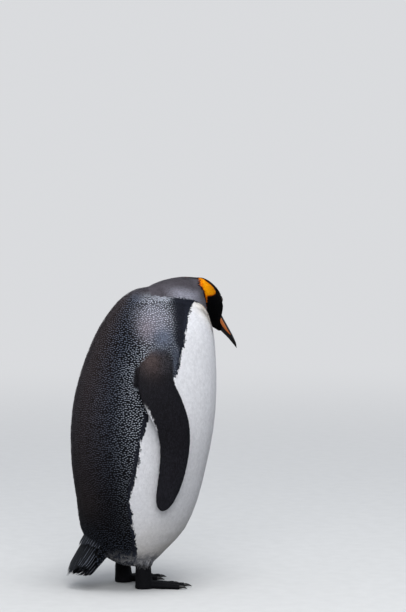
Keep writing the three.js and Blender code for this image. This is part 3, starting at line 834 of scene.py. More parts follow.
class Nodes:
    """The nodes of a material or of the world. A value is a number, a colour or another node's output."""

    def __init__(self, owner):
        owner.use_nodes = True
        self.owner = owner
        self.tree = owner.node_tree

    def put(self, node, inputs):
        """Sets or links a node's inputs, by their names or numbers."""
        for key, value in inputs.items():
            if isinstance(value, bpy.types.NodeSocket):
                self.tree.links.new(value, node.inputs[key])
            else:
                node.inputs[key].default_value = value

    def add(self, kind, inputs=None, output=0, **settings):
        """A new node with these inputs and settings, as one of its outputs."""
        node = self.tree.nodes.new("ShaderNode" + kind)
        for key, value in settings.items():
            setattr(node, key, value)
        self.put(node, inputs or {})
        return node.outputs[output]

    def maths(self, operation, *values):
        return self.add("Math", dict(enumerate(values)), operation=operation)

    def mixed(self, kind, share, a, b):
        return self.add("Mix", {0: share, 6: a, 7: b}, 2, data_type="RGBA", blend_type=kind)

    def either(self, share, a, b):
        """One shader or the other."""
        return self.add("MixShader", {0: share, 1: a, 2: b})

    def noise(self, place, scale, detail):
        return self.add("TexNoise", {"Scale": scale, "Detail": detail, "Vector": place}, "Fac")

    def ramp(self, value, low, high, at=(0.3, 0.7)):
        shade = self.add("ValToRGB", {0: value})
        for element, place, tone in zip(shade.node.color_ramp.elements, at, (low, high)):
            element.position = place
            element.color = (tone, tone, tone, 1) if np.isscalar(tone) else (*tone, 1)
        return shade

    def attribute(self, name, output="Color"):
        return self.add("Attribute", None, output, attribute_name=name)

    def places(self):
        return self.add("TexCoord", None, "Object")

    def surface(self, tone, roughness, shine):
        """Colour, roughness and specular level of the material's own shader."""
        shader = self.tree.nodes["Principled BSDF"]
        self.put(shader, {"Base Color": tone, "Roughness": roughness, "Specular IOR Level": shine})
        return shader

    def uneven(self, value, low, high):
        return self.add("MapRange", {"To Min": low, "To Max": high, "Value": value})

    def bump(self, shader, height, strength, distance):
        relief = self.add("Bump", {"Strength": strength, "Distance": distance, "Height": height})
        self.put(shader, {"Normal": relief})


def feather_material(name, roughness, shine, barbs=26.0, pale_rims=False):
    """Vertex colours, with barbs that slant from each vane's middle, and a little unevenness. With
    pale_rims the vanes are dark but for their rims."""
    nodes = Nodes(bpy.data.materials.new(name))
    vane = nodes.add("SeparateXYZ", {0: nodes.add("UVMap", uv_map="Vane")}).node.outputs
    off_middle = nodes.maths("ABSOLUTE", nodes.maths("SUBTRACT", vane[0], 0.5))
    slant = nodes.maths("SUBTRACT", vane[1], off_middle)
    wave = nodes.maths("SINE", nodes.maths("MULTIPLY", slant, barbs * 2 * math.pi))
    strand = nodes.maths("MULTIPLY_ADD", wave, 0.5, 0.5)
    noise = nodes.noise(nodes.places(), 140.0, 4.0)
    tone = nodes.mixed("MULTIPLY", 1.0, nodes.attribute("shade"), nodes.ramp(noise, 0.93, 1.05))
    tone = nodes.mixed("MULTIPLY", 0.6, tone, nodes.ramp(strand, 0.88, 1.0, (0.0, 1.0)))
    if pale_rims:
        tone = nodes.mixed("MULTIPLY", 1.0, tone, nodes.ramp(off_middle, 0.05, 1.0, (0.34, 0.45)))
    shader = nodes.surface(tone, nodes.uneven(noise, roughness - 0.08, roughness + 0.1), shine)
    nodes.bump(shader, strand, 0.35, 0.00008)
    return nodes.owner


def skin_material():
    nodes = Nodes(bpy.data.materials.new("skin"))
    place = nodes.places()
    down = nodes.noise(place, 420.0, 5.0)
    scales = nodes.add("TexVoronoi", {"Scale": 420.0, "Vector": place}, "Distance")
    tone = nodes.mixed("MULTIPLY", 1.0, nodes.attribute("shade"), nodes.ramp(down, 0.72, 1.1))
    nodes.bump(nodes.surface(tone, 0.62, 0.1), scales, 0.5, 0.0006)
    return nodes.owner


def horn_material(name, dark, pale, roughness, streaks, coat=0.0, shine=0.5):
    """Horn of two tones in streaks, by the piece's own coordinates."""
    nodes = Nodes(bpy.data.materials.new(name))
    place = nodes.add("Mapping", {"Scale": streaks, "Vector": nodes.attribute("grain", "Vector")})
    grain = nodes.noise(place, 1.0, 6.0)
    tone = nodes.ramp(grain, tuple(dark), tuple(pale), (0.35, 0.75))
    tone = nodes.mixed("MULTIPLY", 1.0, tone, nodes.attribute("shade"))
    shader = nodes.surface(tone, nodes.uneven(grain, roughness - 0.07, roughness + 0.12), shine)
    if coat:
        nodes.put(shader, {"Coat Weight": coat, "Coat Roughness": 0.05})
    nodes.bump(shader, grain, 0.25, 0.0004)
    return nodes.owner


PLUMAGE = feather_material("plumage", 0.6, 0.07)
HEAD_PLUMAGE = feather_material("head_plumage", 0.55, 0.04, 14.0)
TAIL_VANE = feather_material("tail_vane", 0.55, 0.08, 46.0, True)
SKIN = skin_material()
BILL_HORN = horn_material("bill_horn", colour(6, 6, 8), colour(19, 18, 20), 0.46, (30, 30, 4), shine=0.22)
BILL_WAX = horn_material("bill_wax", colour(200, 104, 38), colour(236, 142, 72), 0.45, (6, 6, 3), shine=0.3)
CLAW_HORN = horn_material("claw_horn", colour(14, 13, 13), colour(38, 35, 33), 0.38, (2, 2, 5))
EYE_GLOSS = horn_material("eye_gloss", (0.8, 0.8, 0.8), (1.0, 1.0, 1.0), 0.2, (3, 3, 3), 0.45, 0.2)

# ---- The coat ----

# What the feathers are like: plain ones, then those of the white front, flippers, neck, head, legs, tail.
TRAITS = {
    "gap": (3.7, 3.1, 2.3, 2.4, 1.5, 3.4, 3.4),  # between neighbours, in millimetres
    "length": (2.9, 4.5, 3.2, 3.8, 3.8, 4.6, 5.0),  # in gaps
    "breadth": (1.15, 1.7, 1.4, 1.5, 1.5, 1.1, 1.5),  # in gaps
    "lift": (1.3, 1.3, 1.2, 1.4, 1.3, 1.3, 1.1),  # of the tips, in the coat's heights
    "loose": (0.05, 0.03, 0.03, 0.035, 0.04, 0.16, 0.08),  # how far they turn from the lie, in radians
    "motley": (0.16, 0.03, 0.3, 0.06, 0.08, 0.16, 0.12),  # how much their brightness differs
    "pale_from": (0.83, 0.3, 0.74, 0.55, 0.6, 0.6, 0.8),  # where along them the tip's colour starts
    "pale_over": (0.07, 0.4, 0.3, 0.4, 0.4, 0.3, 0.2),  # and over how much it comes in
    "roof": (0.09, 0.05, 0.07, 0.06, 0.07, 0.09, 0.08),  # the ridge's height, in half breadths
}
FLIPPER_COAT_TOP = 470  # heights where one piece of the coat hands over to the next
MANTLE_LOW = 420
BREAST_LOW = 300
GAPE_BARE = 56.5  # from here on along the head, the bill plates' place is bare
FACE_END = 96  # and from here on everything round the bill
PLATE_UNDER, PLATE_BESIDE = (-1, 9.5), (5, 20)  # that place: under the gape line and beside the middle
EYE_BARE = 0.8  # the share of the eye's radius within which no feather takes root
LID_REACH = 1.3  # and within which none lies over the open eye
TIP_SHORTER, BILL_SHORTER = 1.1, 2.2  # how many gaps shorter they are at a flipper's tip and beside the bill
LEAST_CAMBER = 0.00005


class Coat:
    """How the coat changes over the body, at some places on the skin."""

    def __init__(self, places, kinds):
        side, front, z = to_body(places)
        x, y, up = to_head(places)
        around_head = np.hypot(np.hypot(x - 5, y), up)
        self.head = np.maximum(fall(50, 72, around_head), step(26, 34, x) * (np.hypot(y, up) < 52))
        on_neck = step(607, 630, z) * step(-75, 0, front)
        self.neck = np.maximum(on_neck, step(78, 104, front) * step(585, 606, z))
        self.flipper = np.maximum((kinds == "flipper") * fall(440, 456, z), flipper_top(side, front, z))
        self.white = step(-3, -2, front - table(WHITE_EDGE, z)) * (1 - self.neck)
        self.leg = fall(60, 84, z)
        self.tail = step(104, 118, -front) * fall(100, 120, z)

    def trait(self, name):
        plain, *others = TRAITS[name]
        value = np.full(len(self.head), float(plain))
        shares = (self.white, self.flipper, self.neck, self.head, self.leg, self.tail)
        for other, share in zip(others, shares):
            value += (other - value) * share
        return value


def over_eye(spine):
    """Which vanes would lie over an open eye."""
    hidden = np.zeros(len(spine), bool)
    for side, middle in EYE_MIDDLES.items():
        away = spine - middle
        distance = lengths(away)
        facing = (away @ EYE_WAYS[side]) / np.maximum(distance, 1e-6)
        hidden |= ((distance < EYE_RADIUS * LID_REACH) & (facing > math.cos(LID_SPAN * 1.05))).any(axis=1)
    return hidden


def cover(name, spots, gaps, rows, unwrap, material, slot):
    """Lays the vanes of one piece of the coat over these spots, and makes it."""
    kinds = NEAREST.kinds(spots)
    coat = Coat(spots, kinds)
    length = coat.trait("length")
    length = length - TIP_SHORTER * (kinds == "flipper") * fall(184, 206, spots[:, 2] / MM)
    length = length - BILL_SHORTER * coat.head * step(60, 84, to_head(spots)[0])
    laid = lay(spots, gaps, rows, length, coat.trait("breadth"), coat.trait("lift"), coat.trait("loose"))
    seen = ~over_eye(laid[0])
    spine, normals, widths = (part[seen] for part in laid)
    shown = spine[:, -2]
    marks = Markings(shown + CHANCE.normal(0, 0.0005, shown.shape), NEAREST.kinds(shown))
    bright = (1 + CHANCE.uniform(-1, 1, len(spine)) * coat.trait("motley")[seen])[:, None]
    start = coat.trait("pale_from")[seen]
    full = np.minimum(start + coat.trait("pale_over")[seen], 1)
    pale = step(start[:, None], full[:, None], np.array(ROWS[rows][0]))
    colours = blend((marks.base * bright)[:, None], (marks.tip * bright)[:, None], pale)
    camber = widths * coat.trait("roof")[seen, None] + LEAST_CAMBER
    feathers(name, spine, normals, widths, camber, colours, unwrap[seen], material, slot)


def unfeathered(places):
    """0 where the skin is bare, covered by horn or taken up by the tail's own feathers, and else 1."""
    kinds = NEAREST.kinds(places)
    x, y, up = to_head(places)
    under_gape = table(BILL_ROWS, x) - up
    bare = np.isin(kinds, ("foot", "bill")) | ((x > FACE_END) & (np.hypot(y, up) < HEAD_REACH))
    bare |= (kinds == "tail") & (-to_body(places)[1] > COVERTS_END)
    bare |= (x > GAPE_BARE) & between(under_gape, *PLATE_UNDER) & between(np.abs(y), *PLATE_BESIDE)
    for middle in EYE_MIDDLES.values():
        bare |= lengths(places - middle) < EYE_RADIUS * EYE_BARE
    return np.where(bare, 0.0, 1.0)


def coats():
    def spacing(places):
        return Coat(places, NEAREST.kinds(places)).trait("gap") * MM

    spots, gaps = scattered(*SKIN_SHELL, spacing, unfeathered)
    spots = SURFACE.evened(spots, gaps, 5)
    kinds = NEAREST.kinds(spots)
    coat = Coat(spots, kinds)
    side, front, z = to_body(spots)
    x, y, up = to_head(spots)
    flipper = (kinds == "flipper") & (z < FLIPPER_COAT_TOP)
    head = ~flipper & (coat.head > 0.5)
    neck = ~flipper & ~head & (coat.neck > 0.5)
    tail = ~flipper & (coat.tail > 0.5)
    leg = ~flipper & ~tail & (coat.leg > 0.5)
    rest = ~(flipper | head | neck | tail | leg)
    white, dark = rest & (coat.white > 0.5), rest & (coat.white <= 0.5)
    behind, before = np.arctan2(side, -front), np.arctan2(side, front)
    on_flipper = flipper_across(front, z) + np.where(np.abs(side) > flipper_middle(z), 0.0, 2.6)
    # Each piece with its spots, the rows of its vanes, and how it is unwrapped
    zones = [
        ("coat_head", head, 4, np.arctan2(y, up), x),
        ("coat_neck", neck, 4, np.arctan2(side, z - 600), front),
        ("coat_mantle", dark & (z > MANTLE_LOW), 6, behind, z),
        ("coat_back", dark & (z <= MANTLE_LOW), 6, behind, z),
        ("coat_breast", white & (z > BREAST_LOW), 5, before, z),
        ("coat_belly", white & (z <= BREAST_LOW), 5, before, z),
        ("coat_legs", leg, 5, behind, z),
        ("coat_tail", tail, 5, behind, z),
        ("coat_flipper_left", flipper & (side > 0), 4, on_flipper, z),
        ("coat_flipper_right", flipper & (side <= 0), 4, on_flipper, z),
    ]
    slots = {"tail": "tail", "flipper": "flipper"}
    for name, chosen, rows, u, v in zones:
        part = name.split("_")[1]
        unwrap = spread(u[chosen], v[chosen])
        material = HEAD_PLUMAGE if part == "head" else PLUMAGE
        cover(name, spots[chosen], gaps[chosen], rows, unwrap, material, slots.get(part, "plumage"))


# ---- Bill, eyes and claws ----

# The closed bill, along the head: its gape line, and its reach over, under and to either side of that
# line, in millimetres.
BILL_ROWS = [(40, -4, 11, 13, 9.5), (66, -8, 16, 14, 10), (90, -11.8, 15.3, 11.2, 9),
             (120, -14.8, 13.9, 5.8, 6.7), (150, -16.4, 10, 3, 4.6), (172, -19.2, 5.8, 1.9, 2.9),
             (184, -23, 2.6, 0.8, 1.3)]
HORN_START = 48  # along the head, under the face's feathers
LOWER_BILL_END = 177
TIP_ROUND = 9  # how far from its tip the bill begins to close
GAPE = 0.12  # half the thin line between the two halves
PALATE = 0.5  # how far the upper half's underside is hollowed
PLATE_ENDS = (50.5, 135)
PLATE_DEPTH = 9.0
PLATE_THICK = 1.1


def ring_quads(starts, ends, around):
    """Quads from ring to ring, by the numbers of the first points of those they start and end at."""
    n = np.arange(around)
    following = (n + 1) % around
    a, b = starts[:, None], ends[:, None]
    return np.stack([a + n, a + following, b + following, b + n], -1).reshape(-1, 4)


def loft(rings):
    """Points and faces of a closed skin over rings of equally many points."""
    count, around = rings.shape[:2]
    starts = np.arange(count) * around
    points = np.concatenate([rings.reshape(-1, 3), rings[:1].mean(1), rings[-1:].mean(1)])
    n = np.arange(around)
    following, end = (n + 1) % around, starts[-1]
    fans = np.concatenate([np.stack([np.full(around, len(points) - 2), following, n], -1),
                           np.stack([np.full(around, len(points) - 1), end + n, end + following], -1)])
    return points, [ring_quads(starts[:-1], starts[1:], around), fans]


def loft_places(along, around, ends, middle=0.0):
    """For each point of a loft, its place along it and around it. ends are the two end points' own."""
    run = np.concatenate([np.repeat(along, len(around)), ends])
    return run, np.concatenate([np.tile(around, len(along)), [middle, middle]])


def horn_piece(name, rings, inside_out, shades, grain, material, slot, node):
    """A closed piece over rings, in place of a node. grain is the place of each point in its streaks."""
    points, faces = loft(rings)
    if inside_out:
        faces = [f[:, ::-1] for f in faces]
    mesh = make_mesh(name, points, faces)
    paint(mesh, shades)
    layer = mesh.attributes.new("grain", "FLOAT_VECTOR", "POINT")
    layer.data.foreach_set("vector", np.stack(np.broadcast_arrays(*grain), -1).astype(np.float32).ravel())
    add_piece(name, mesh, material, slot, node)


def bill_half(upper):
    """The horn over or under the gape line, with a culmen ridge or a groove under the chin."""
    end = BILL_ROWS[-1][0] if upper else LOWER_BILL_END
    at = np.linspace(HORN_START, end, 70)
    along, gape, over, under, half = curve_through(BILL_ROWS, at).T
    turn = np.linspace(0, math.pi, 33)
    flat = np.linspace(-1, 1, 7)[1:-1]
    way, reach, half = (1, over, half * 1.02) if upper else (-1, under, half * 0.99)
    blunt = 0.3 + 0.7 * step(0, TIP_ROUND, along[-1] - at)
    reach, half = np.maximum(reach * blunt, 0.4)[:, None], np.maximum(half * blunt, 0.4)[:, None]
    across = np.cos(turn)
    ridge = 0.5 * bell(across, 0, 0.16) if upper else -0.25 * bell(across, 0, 0.2)
    groove = 0.045 * bell(np.abs(across), 0.86, 0.07) if upper else 0
    rings = np.zeros((len(at), len(turn) + len(flat), 3))
    rings[:, :, 0] = at[:, None]
    rings[:, :len(turn), 1] = half * (across * (1 - groove))
    rings[:, :len(turn), 2] = gape[:, None] + way * (GAPE + (reach * np.sin(turn) ** 0.92 + ridge))
    rings[:, len(turn):, 1] = half * flat * 0.94
    rings[:, len(turn):, 2] = gape[:, None] + way * GAPE + PALATE * upper
    run, angle = loft_places(at, np.concatenate([turn, flat * 0]), at[[0, -1]])
    worn = 1 + 0.5 * step(160, 182, run)
    half_name = "upper" if upper else "lower"
    horn_piece(f"{half_name}_bill_horn", from_head(rings), upper, worn[:, None] * np.ones(3),
               (angle * 1.2, way, run * 0.05), BILL_HORN, "bill", f"bill_{half_name}")


def bill_plate(side):
    """The waxy coloured plate along one side of the lower bill."""
    way = SIDES[side]
    at = np.linspace(*PLATE_ENDS, 60)
    share = (at - PLATE_ENDS[0]) / (PLATE_ENDS[1] - PLATE_ENDS[0])
    _, gape, _, under, half = curve_through(BILL_ROWS, at).T[:, :, None]
    depth = 0.5 + PLATE_DEPTH * np.sin(math.pi * share ** 0.55)
    down = np.linspace(0, 1, 9)
    drop = np.minimum(0.7 + depth[:, None] * down, under * 0.93)
    swell = 0.4 * np.sin(math.pi * down) ** 0.5
    out = half * 0.99 * np.sqrt(1 - (drop / under) ** 2)
    outer = np.stack(np.broadcast_arrays(at[:, None], way * (out + GAPE + swell), gape - drop), -1)
    inner = outer[:, ::-1] - np.array([0, way * PLATE_THICK, 0])
    run, across = loft_places(at, np.concatenate([down, down[::-1]]), at[[0, -1]], 0.5)
    shades = blend(np.ones(3), np.array([1.04, 0.94, 0.55]), step(95, 134, run))
    rings = from_head(np.concatenate([outer, inner], 1))
    grain = (across * 2, 0, run * 0.04)
    horn_piece(f"bill_plate_wax_{side}", rings, side == "right", shades, grain, BILL_WAX, "bill_plate",
               f"bill_plate_{side}")


EYE_WAYS = {side: unit(way * HEAD_AXES[1] + 0.16 * HEAD_AXES[0] + 0.08 * HEAD_AXES[2])
            for side, way in SIDES.items()}
LID_SPAN = 0.72  # the half angle of the open eye, along the head
LID_HEIGHT = 0.58  # and across it
PUPIL, IRIS = 0.27, 0.60  # half angles
IRIS_BROWN = colour(62, 36, 22)
# The rim round the open eye, from its edge outwards and back under the skin: the angle from that edge, and
# the share of the eye's radius.
LID_PROFILE = [(0.0, 0.975), (0.0, 1.01), (0.05, 1.035), (0.14, 1.05), (0.26, 1.04), (0.42, 1.01),
               (0.62, 0.96), (0.62, 0.9), (0.2, 0.93)]


def around_eye(side, polar, turn, radius):
    """Points round an eye's own axis, at angles from it and round it, in metres."""
    way = EYE_WAYS[side]
    along = unit(HEAD_AXES[0] - way * (HEAD_AXES[0] @ way))
    over = np.cross(way, along) * SIDES[side]
    polar, turn, radius = (a[..., None] for a in np.broadcast_arrays(polar, turn, radius))
    sideways = along * np.cos(turn) + over * np.sin(turn)
    return EYE_MIDDLES[side] + (way * np.cos(polar) + sideways * np.sin(polar)) * radius


def eye_globe(side):
    """A dark brown eye: pupil, iris and a slightly bulging cornea over them, in one glossy globe."""
    polar = np.concatenate([np.linspace(0.02, 0.9, 40), np.linspace(0.95, math.pi - 0.05, 22)])
    turn = all_round(56)
    radius = EYE_RADIUS * (0.965 + 0.03 * bell(polar, 0, 0.5))
    rings = around_eye(side, polar[:, None], turn[None], radius[:, None])
    angle, whorl = loft_places(polar, turn, [0, math.pi])
    in_iris = step(PUPIL - 0.02, PUPIL + 0.02, angle) * fall(IRIS - 0.05, IRIS + 0.03, angle)
    fibres = 0.75 + 0.25 * np.sin(whorl * 23) * np.sin(whorl * 7 + 1)
    shades = blend(np.full(3, 0.004), IRIS_BROWN * fibres[:, None], in_iris)
    horn_piece(f"eye_globe_{side}", rings, side == "left", shades,
               (np.cos(whorl) * 3, np.sin(whorl) * 3, angle * 2), EYE_GLOSS, "eye", f"eye_{side}")


def lid_shell(side):
    """The bare rim round one eye, as part of the skin."""
    turn = all_round(64)
    opening = 1 / np.hypot(np.cos(turn) / LID_SPAN, np.sin(turn) / LID_HEIGHT)
    folds = 1 + 0.012 * np.sin(turn * 16)
    rings = np.stack([around_eye(side, opening + more, turn, EYE_RADIUS * size * (folds if size > 1 else 1))
                      for more, size in LID_PROFILE])
    starts = np.arange(len(rings)) * len(turn)
    quads = ring_quads(starts, np.roll(starts, -1), len(turn))
    triangles = np.concatenate([quads[:, [0, 1, 2]], quads[:, [0, 2, 3]]])
    return rings.reshape(-1, 3), triangles[:, ::-1] if side == "left" else triangles


def claw_horn(node):
    """A curved black claw in place of a claw node."""
    points = node_points(node)
    foot_middle = node_points("foot_" + node.split("_")[1]).mean(0)
    tip = points[lengths(points - foot_middle).argmax()]
    far = lengths(points - tip)
    root = points[far > far.max() * 0.86].mean(0)
    radius = np.ptp(points[far > far.max() * 0.8][:, 2]) / 2 + 0.0002
    share = np.linspace(-0.25, 1, 22)  # it starts inside the toe
    arch = np.clip(share, 0, 1)
    middle = root + (tip - root) * share[:, None]
    middle[:, 2] += 0.12 * np.linalg.norm(tip - root) * np.sin(math.pi * arch) * 0.8
    way = unit(tip - root)
    across = unit(np.cross(way, (0, 0, 1)))
    over = np.cross(across, way)
    thick = (radius * (1 - 0.88 * arch ** 1.35))[:, None, None]
    turn = all_round(18)
    aside, above = np.cos(turn)[None, :, None] * thick * 0.86, np.sin(turn)[None, :, None] * thick
    rings = middle[:, None] + across * aside + over * above
    rings[:, :, 2] = np.maximum(rings[:, :, 2], 0.0003)
    run, whorl = loft_places(share, turn, [0, 1])
    shades = (1 + 1.2 * step(0.5, 1, run))[:, None] * np.ones(3)
    horn_piece(node.replace("claw", "claw_horn"), rings, True, shades, (whorl, 0, run * 3), CLAW_HORN, "claw",
               node)


# ---- Tail and feet ----

# The tail's middle line: rear, height, half breadth, half thickness, and how far its sides droop.
TAIL_ROWS = [(76, 108, 42, 27, 6), (98, 93, 54, 33, 10), (120, 74, 56, 34.5, 16), (138, 55, 52, 26, 16),
             (151, 40, 45, 15, 9), (166, 24, 33, 2, 3)]
# Each layer of tail feathers: how many, how high over the middle line, as a share of the half thickness,
# how much shorter than the longest, and how light.
TAIL_LAYERS = [(17, 1.28, 27, 0.8), (19, 1.0, 0, 1.0), (18, 0.6, 4, 0.8), (16, 0.1, 7, 0.6),
               (15, -0.38, 9, 0.5), (15, -0.75, 13, 0.6)]
BLADE_ROOT = 96  # where they start, in millimetres behind the body's axis
BLADE_END = 166  # of the longest, in the middle
OUTER_SHORTER = 24  # how much shorter the outermost ones are
BLADE_HALF = 4.6  # half the breadth of one
LOWEST_BLADE = 7.0  # the least height of one's middle
BLADE_DARK = colour(62, 65, 72)
BLADE_PALE = colour(118, 123, 135)


def tail_blades():
    """Long stiff feathers side by side, the middle ones longest, in layers over one another."""
    rows = 10
    spines, normals, widths, shades, unwraps = [], [], [], [], []
    share = np.linspace(0, 1, rows)
    outline = np.sqrt(np.clip(1 - share ** 6, 0, 1)) * (0.6 + 0.4 * step(0, 0.3, share))
    for layer, (count, lift, shorter, light) in enumerate(TAIL_LAYERS):
        for n in range(count):
            c = (2 * n - (count - 1)) / (count - 1) * 0.97  # about -1 on the right to 1 on the left
            end = BLADE_END - OUTER_SHORTER * c * c - shorter + CHANCE.uniform(-2.5, 1.2)
            rear = np.linspace(BLADE_ROOT, end, rows)
            _, z, half, thick, droop = curve_through(TAIL_ROWS, rear).T
            splay = half * c * (0.7 + 0.3 * share)
            height = z - droop * c * c + lift * thick * math.sqrt(1 - 0.72 * c * c) + 0.8 * (n % 2)
            spines.append(from_body(splay, -rear, np.maximum(height, LOWEST_BLADE)))
            lean = unit(np.array([0.5 * c, 0.62, 0.7 if lift > -0.5 else -0.7]))
            normals.append(np.repeat(lean[None], rows, 0))
            widths.append(BLADE_HALF * MM * outline)
            tone = CHANCE.uniform(0.75, 1.25) * light
            pale = step(0.25, 0.8, share) * (1.0 if layer < 2 else 0.6)
            shades.append(blend(BLADE_DARK * tone, BLADE_PALE * tone ** 0.5, pale))
            unwraps.append((0.06 + 0.86 * n / count, 0.06 + 0.17 * layer))
    spines, normals, widths, shades, unwraps = map(np.array, (spines, normals, widths, shades, unwraps))
    camber = widths * 0.09 + 0.00025
    feathers("tail_blades", spines, normals, widths, camber, shades, unwraps, TAIL_VANE, "tail")


SCALE_GAP = 1.9  # millimetres from one scale of the foot to the next
SCALE_CORNERS = 6
SCALE_HEIGHT = 0.00032  # of its flat top over the skin, in metres
SCALE_SINK = 0.0003  # and of its rim under it
SCALES_UNDER_HEM = 0.004  # how far up into the shank's hem they go
SOLE_TOP = 0.0022  # the height under which the foot has none


def foot_scales(side):
    """Small domed scales over a foot."""
    surface = Surface(*FOOT_SHELLS[side])
    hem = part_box(f"leg_{side}")[0].z

    def keep(places):
        return np.where((places[:, 2] > hem + SCALES_UNDER_HEM) | (places[:, 2] < SOLE_TOP), 0.0, 1.0)

    spots, gaps = scattered(*FOOT_SHELLS[side], lambda places: np.full(len(places), SCALE_GAP * MM), keep)
    spots = surface.evened(spots, gaps, 4)
    place, normal, _ = surface.nearest(spots)
    along = unit(np.cross(normal, np.cross((0.0, -1.0, 0.2), normal)))
    across = np.cross(normal, along)
    size = gaps * CHANCE.uniform(0.6, 0.72, len(spots))
    turn = all_round(SCALE_CORNERS) + math.pi / 6
    rim = along[:, None] * np.cos(turn)[None, :, None] + across[:, None] * np.sin(turn)[None, :, None]
    low = place[:, None] + rim * size[:, None, None] - normal[:, None] * SCALE_SINK
    high = place[:, None] + rim * size[:, None, None] * 0.66 + normal[:, None] * SCALE_HEIGHT
    top = (place + normal * (SCALE_HEIGHT + 0.0001))[:, None]
    made = np.concatenate([low, high, top], 1)
    made[:, :, 2] = np.maximum(made[:, :, 2], FLOOR_GAP)
    ends = [(n, (n + 1) % SCALE_CORNERS) for n in range(SCALE_CORNERS)]
    last = 2 * SCALE_CORNERS
    quads = [(a, b, b + SCALE_CORNERS, a + SCALE_CORNERS) for a, b in ends]
    tris = [(a + SCALE_CORNERS, b + SCALE_CORNERS, last) for a, b in ends]
    tris += [(0, n + 1, n) for n in range(1, SCALE_CORNERS - 1)]
    faces = [repeated(part, len(spots), last + 1) for part in (quads, tris)]
    mesh = make_mesh(f"foot_scales_{side}", made.reshape(-1, 3), faces)
    tone = CHANCE.uniform(0.8, 1.35, (len(spots), 1, 1)) * FOOT * 1.15
    paint(mesh, np.repeat(tone, last + 1, 1).reshape(-1, 3))
    _, front, z = to_body(spots)
    turned = np.degrees(np.arctan2(*(place - place.mean(0))[:, :2].T))
    circle = np.stack([np.cos(turn), np.sin(turn)], -1)
    within = np.concatenate([circle * 0.5, circle * 0.3, [[0, 0]]]) * BAKE_PATCH
    bake = (spread(turned, z + 0.3 * front)[:, None] + within).reshape(-1, 2)
    map_uv(mesh, faces, OFBake=bake, Vane=bake)
    add_piece(f"foot_scales_{side}", mesh, SKIN, "foot")


# ---- Building the bird ----

FOOT_SHELLS = {side: foot_shell(side) for side in SIDES}
SKIN_SHELL = united([body_shell(), *map(flipper_shell, SIDES), *FOOT_SHELLS.values(), *map(lid_shell, SIDES)])
SURFACE = Surface(*SKIN_SHELL)


def skin():
    points, triangles = SKIN_SHELL
    mesh = make_mesh("skin", points, [triangles])
    paint(mesh, Markings(points, NEAREST.kinds(points)).base)
    add_piece("skin", mesh, SKIN, "plumage", *[name for name in SKIN_NODES if kind_of(name) != "bill"])


skin()
coats()
for side in SIDES:
    bill_plate(side)
    eye_globe(side)
    foot_scales(side)
bill_half(True)
bill_half(False)
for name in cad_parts:
    if kind_of(name) == "claw":
        claw_horn(name)
tail_blades()

# ---- Floor, light and camera ----

FLOOR_HALF = 60.0
BACKDROP = (0.70, 0.71, 0.73, 1)
FLOOR_TONES = ((0.60, 0.60, 0.59), (0.63, 0.63, 0.62))
FLOOR_BOUNCE = (0.20, 0.195, 0.185, 1)  # the floor as the bird sees it, so that it is not lit from below
FADE_FROM, FADE_TO = 0.7, 5.0  # where the floor turns into the backdrop, from the bird


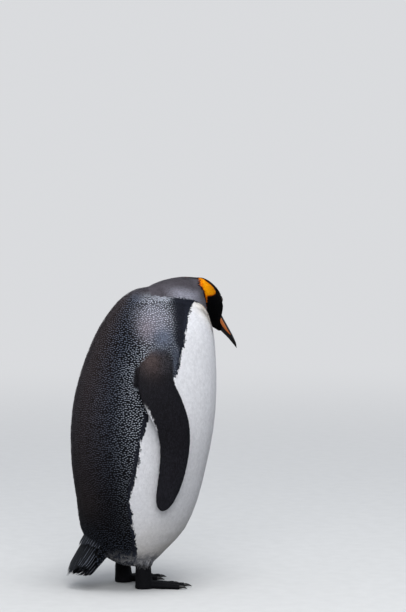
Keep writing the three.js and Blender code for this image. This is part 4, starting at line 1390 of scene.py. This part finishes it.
def floor_and_backdrop():
    """A plain pale floor, which fades into the colour of the backdrop far behind the bird."""
    corners = [(x, y, 0.0) for x in (-FLOOR_HALF, FLOOR_HALF) for y in (-FLOOR_HALF, FLOOR_HALF)]
    mesh = make_mesh("floor", np.array(corners), [np.array([[0, 2, 3, 1]])])
    nodes = Nodes(bpy.data.materials.new("floor"))
    place = nodes.places()
    to_camera = nodes.add("LightPath", None, "Is Camera Ray")
    seen = nodes.ramp(nodes.noise(place, 30.0, 6.0), *FLOOR_TONES)
    shader = nodes.surface(nodes.mixed("MIX", to_camera, FLOOR_BOUNCE, seen), 0.9, 0.1)
    away = nodes.add("VectorMath", {0: place}, "Value", operation="LENGTH")
    fade = nodes.add("MapRange", {"From Min": FADE_FROM, "From Max": FADE_TO, "Value": away},
                     interpolation_type="SMOOTHSTEP")
    share = nodes.maths("MULTIPLY", fade, to_camera)
    far = nodes.add("Emission", {"Color": BACKDROP})
    shown = nodes.either(share, shader.outputs[0], far)
    nodes.put(nodes.tree.nodes["Material Output"], {0: shown})
    floor = new_object("floor", mesh)
    mesh.materials.append(nodes.owner)


def soft_light(name, place, aim, size, power):
    data = bpy.data.lights.new(name, "AREA")
    data.shape = "DISK"
    data.size = size
    data.energy = power
    light = new_object(name, data)
    light.location = place
    light.rotation_euler = (Vector(aim) - Vector(place)).to_track_quat("-Z", "Y").to_euler()


def world_light():
    """A pale sky to light the bird, and the plain backdrop for the camera."""
    world = bpy.data.worlds.new("sky")
    bpy.context.scene.world = world
    nodes = Nodes(world)
    sky = nodes.tree.nodes["Background"]
    nodes.put(sky, {"Color": (0.90, 0.95, 1.04, 1), "Strength": 0.66})
    to_camera = nodes.add("LightPath", None, "Is Camera Ray")
    seen = nodes.add("Background", {"Color": BACKDROP, "Strength": 1.0})
    nodes.put(nodes.tree.nodes["World Output"], {0: nodes.either(to_camera, sky.outputs[0], seen)})


CAMERA_DISTANCE = 6.0
CAMERA_HEIGHT = 1.051
CAMERA_BEHIND = math.radians(15)  # how far behind square to the bird's right side it stands
CAMERA_DOWN = math.radians(4.319)
CAMERA_RIGHT = math.radians(1.245)  # the bird stands left of the picture's middle
LENS = 166.48


def camera():
    data = bpy.data.cameras.new("camera")
    data.lens = LENS
    data.sensor_width = 36
    data.clip_end = 100
    made = new_object("camera", data)
    made.location = (-CAMERA_DISTANCE * math.cos(CAMERA_BEHIND),
                     AXIS_Y + CAMERA_DISTANCE * math.sin(CAMERA_BEHIND), CAMERA_HEIGHT)
    made.rotation_euler = (math.pi / 2 - CAMERA_DOWN, 0, -math.pi / 2 - CAMERA_BEHIND - CAMERA_RIGHT)
    bpy.context.scene.camera = made


bpy.context.scene.view_settings.view_transform = "Standard"
floor_and_backdrop()
world_light()
soft_light("top_light", (-1.0, -0.1, 4.5), (0, 0, 0.5), 2.6, 100)
soft_light("side_light", (-3.8, 1.1, 2.9), (0, 0, 0.35), 3.0, 88)
camera()
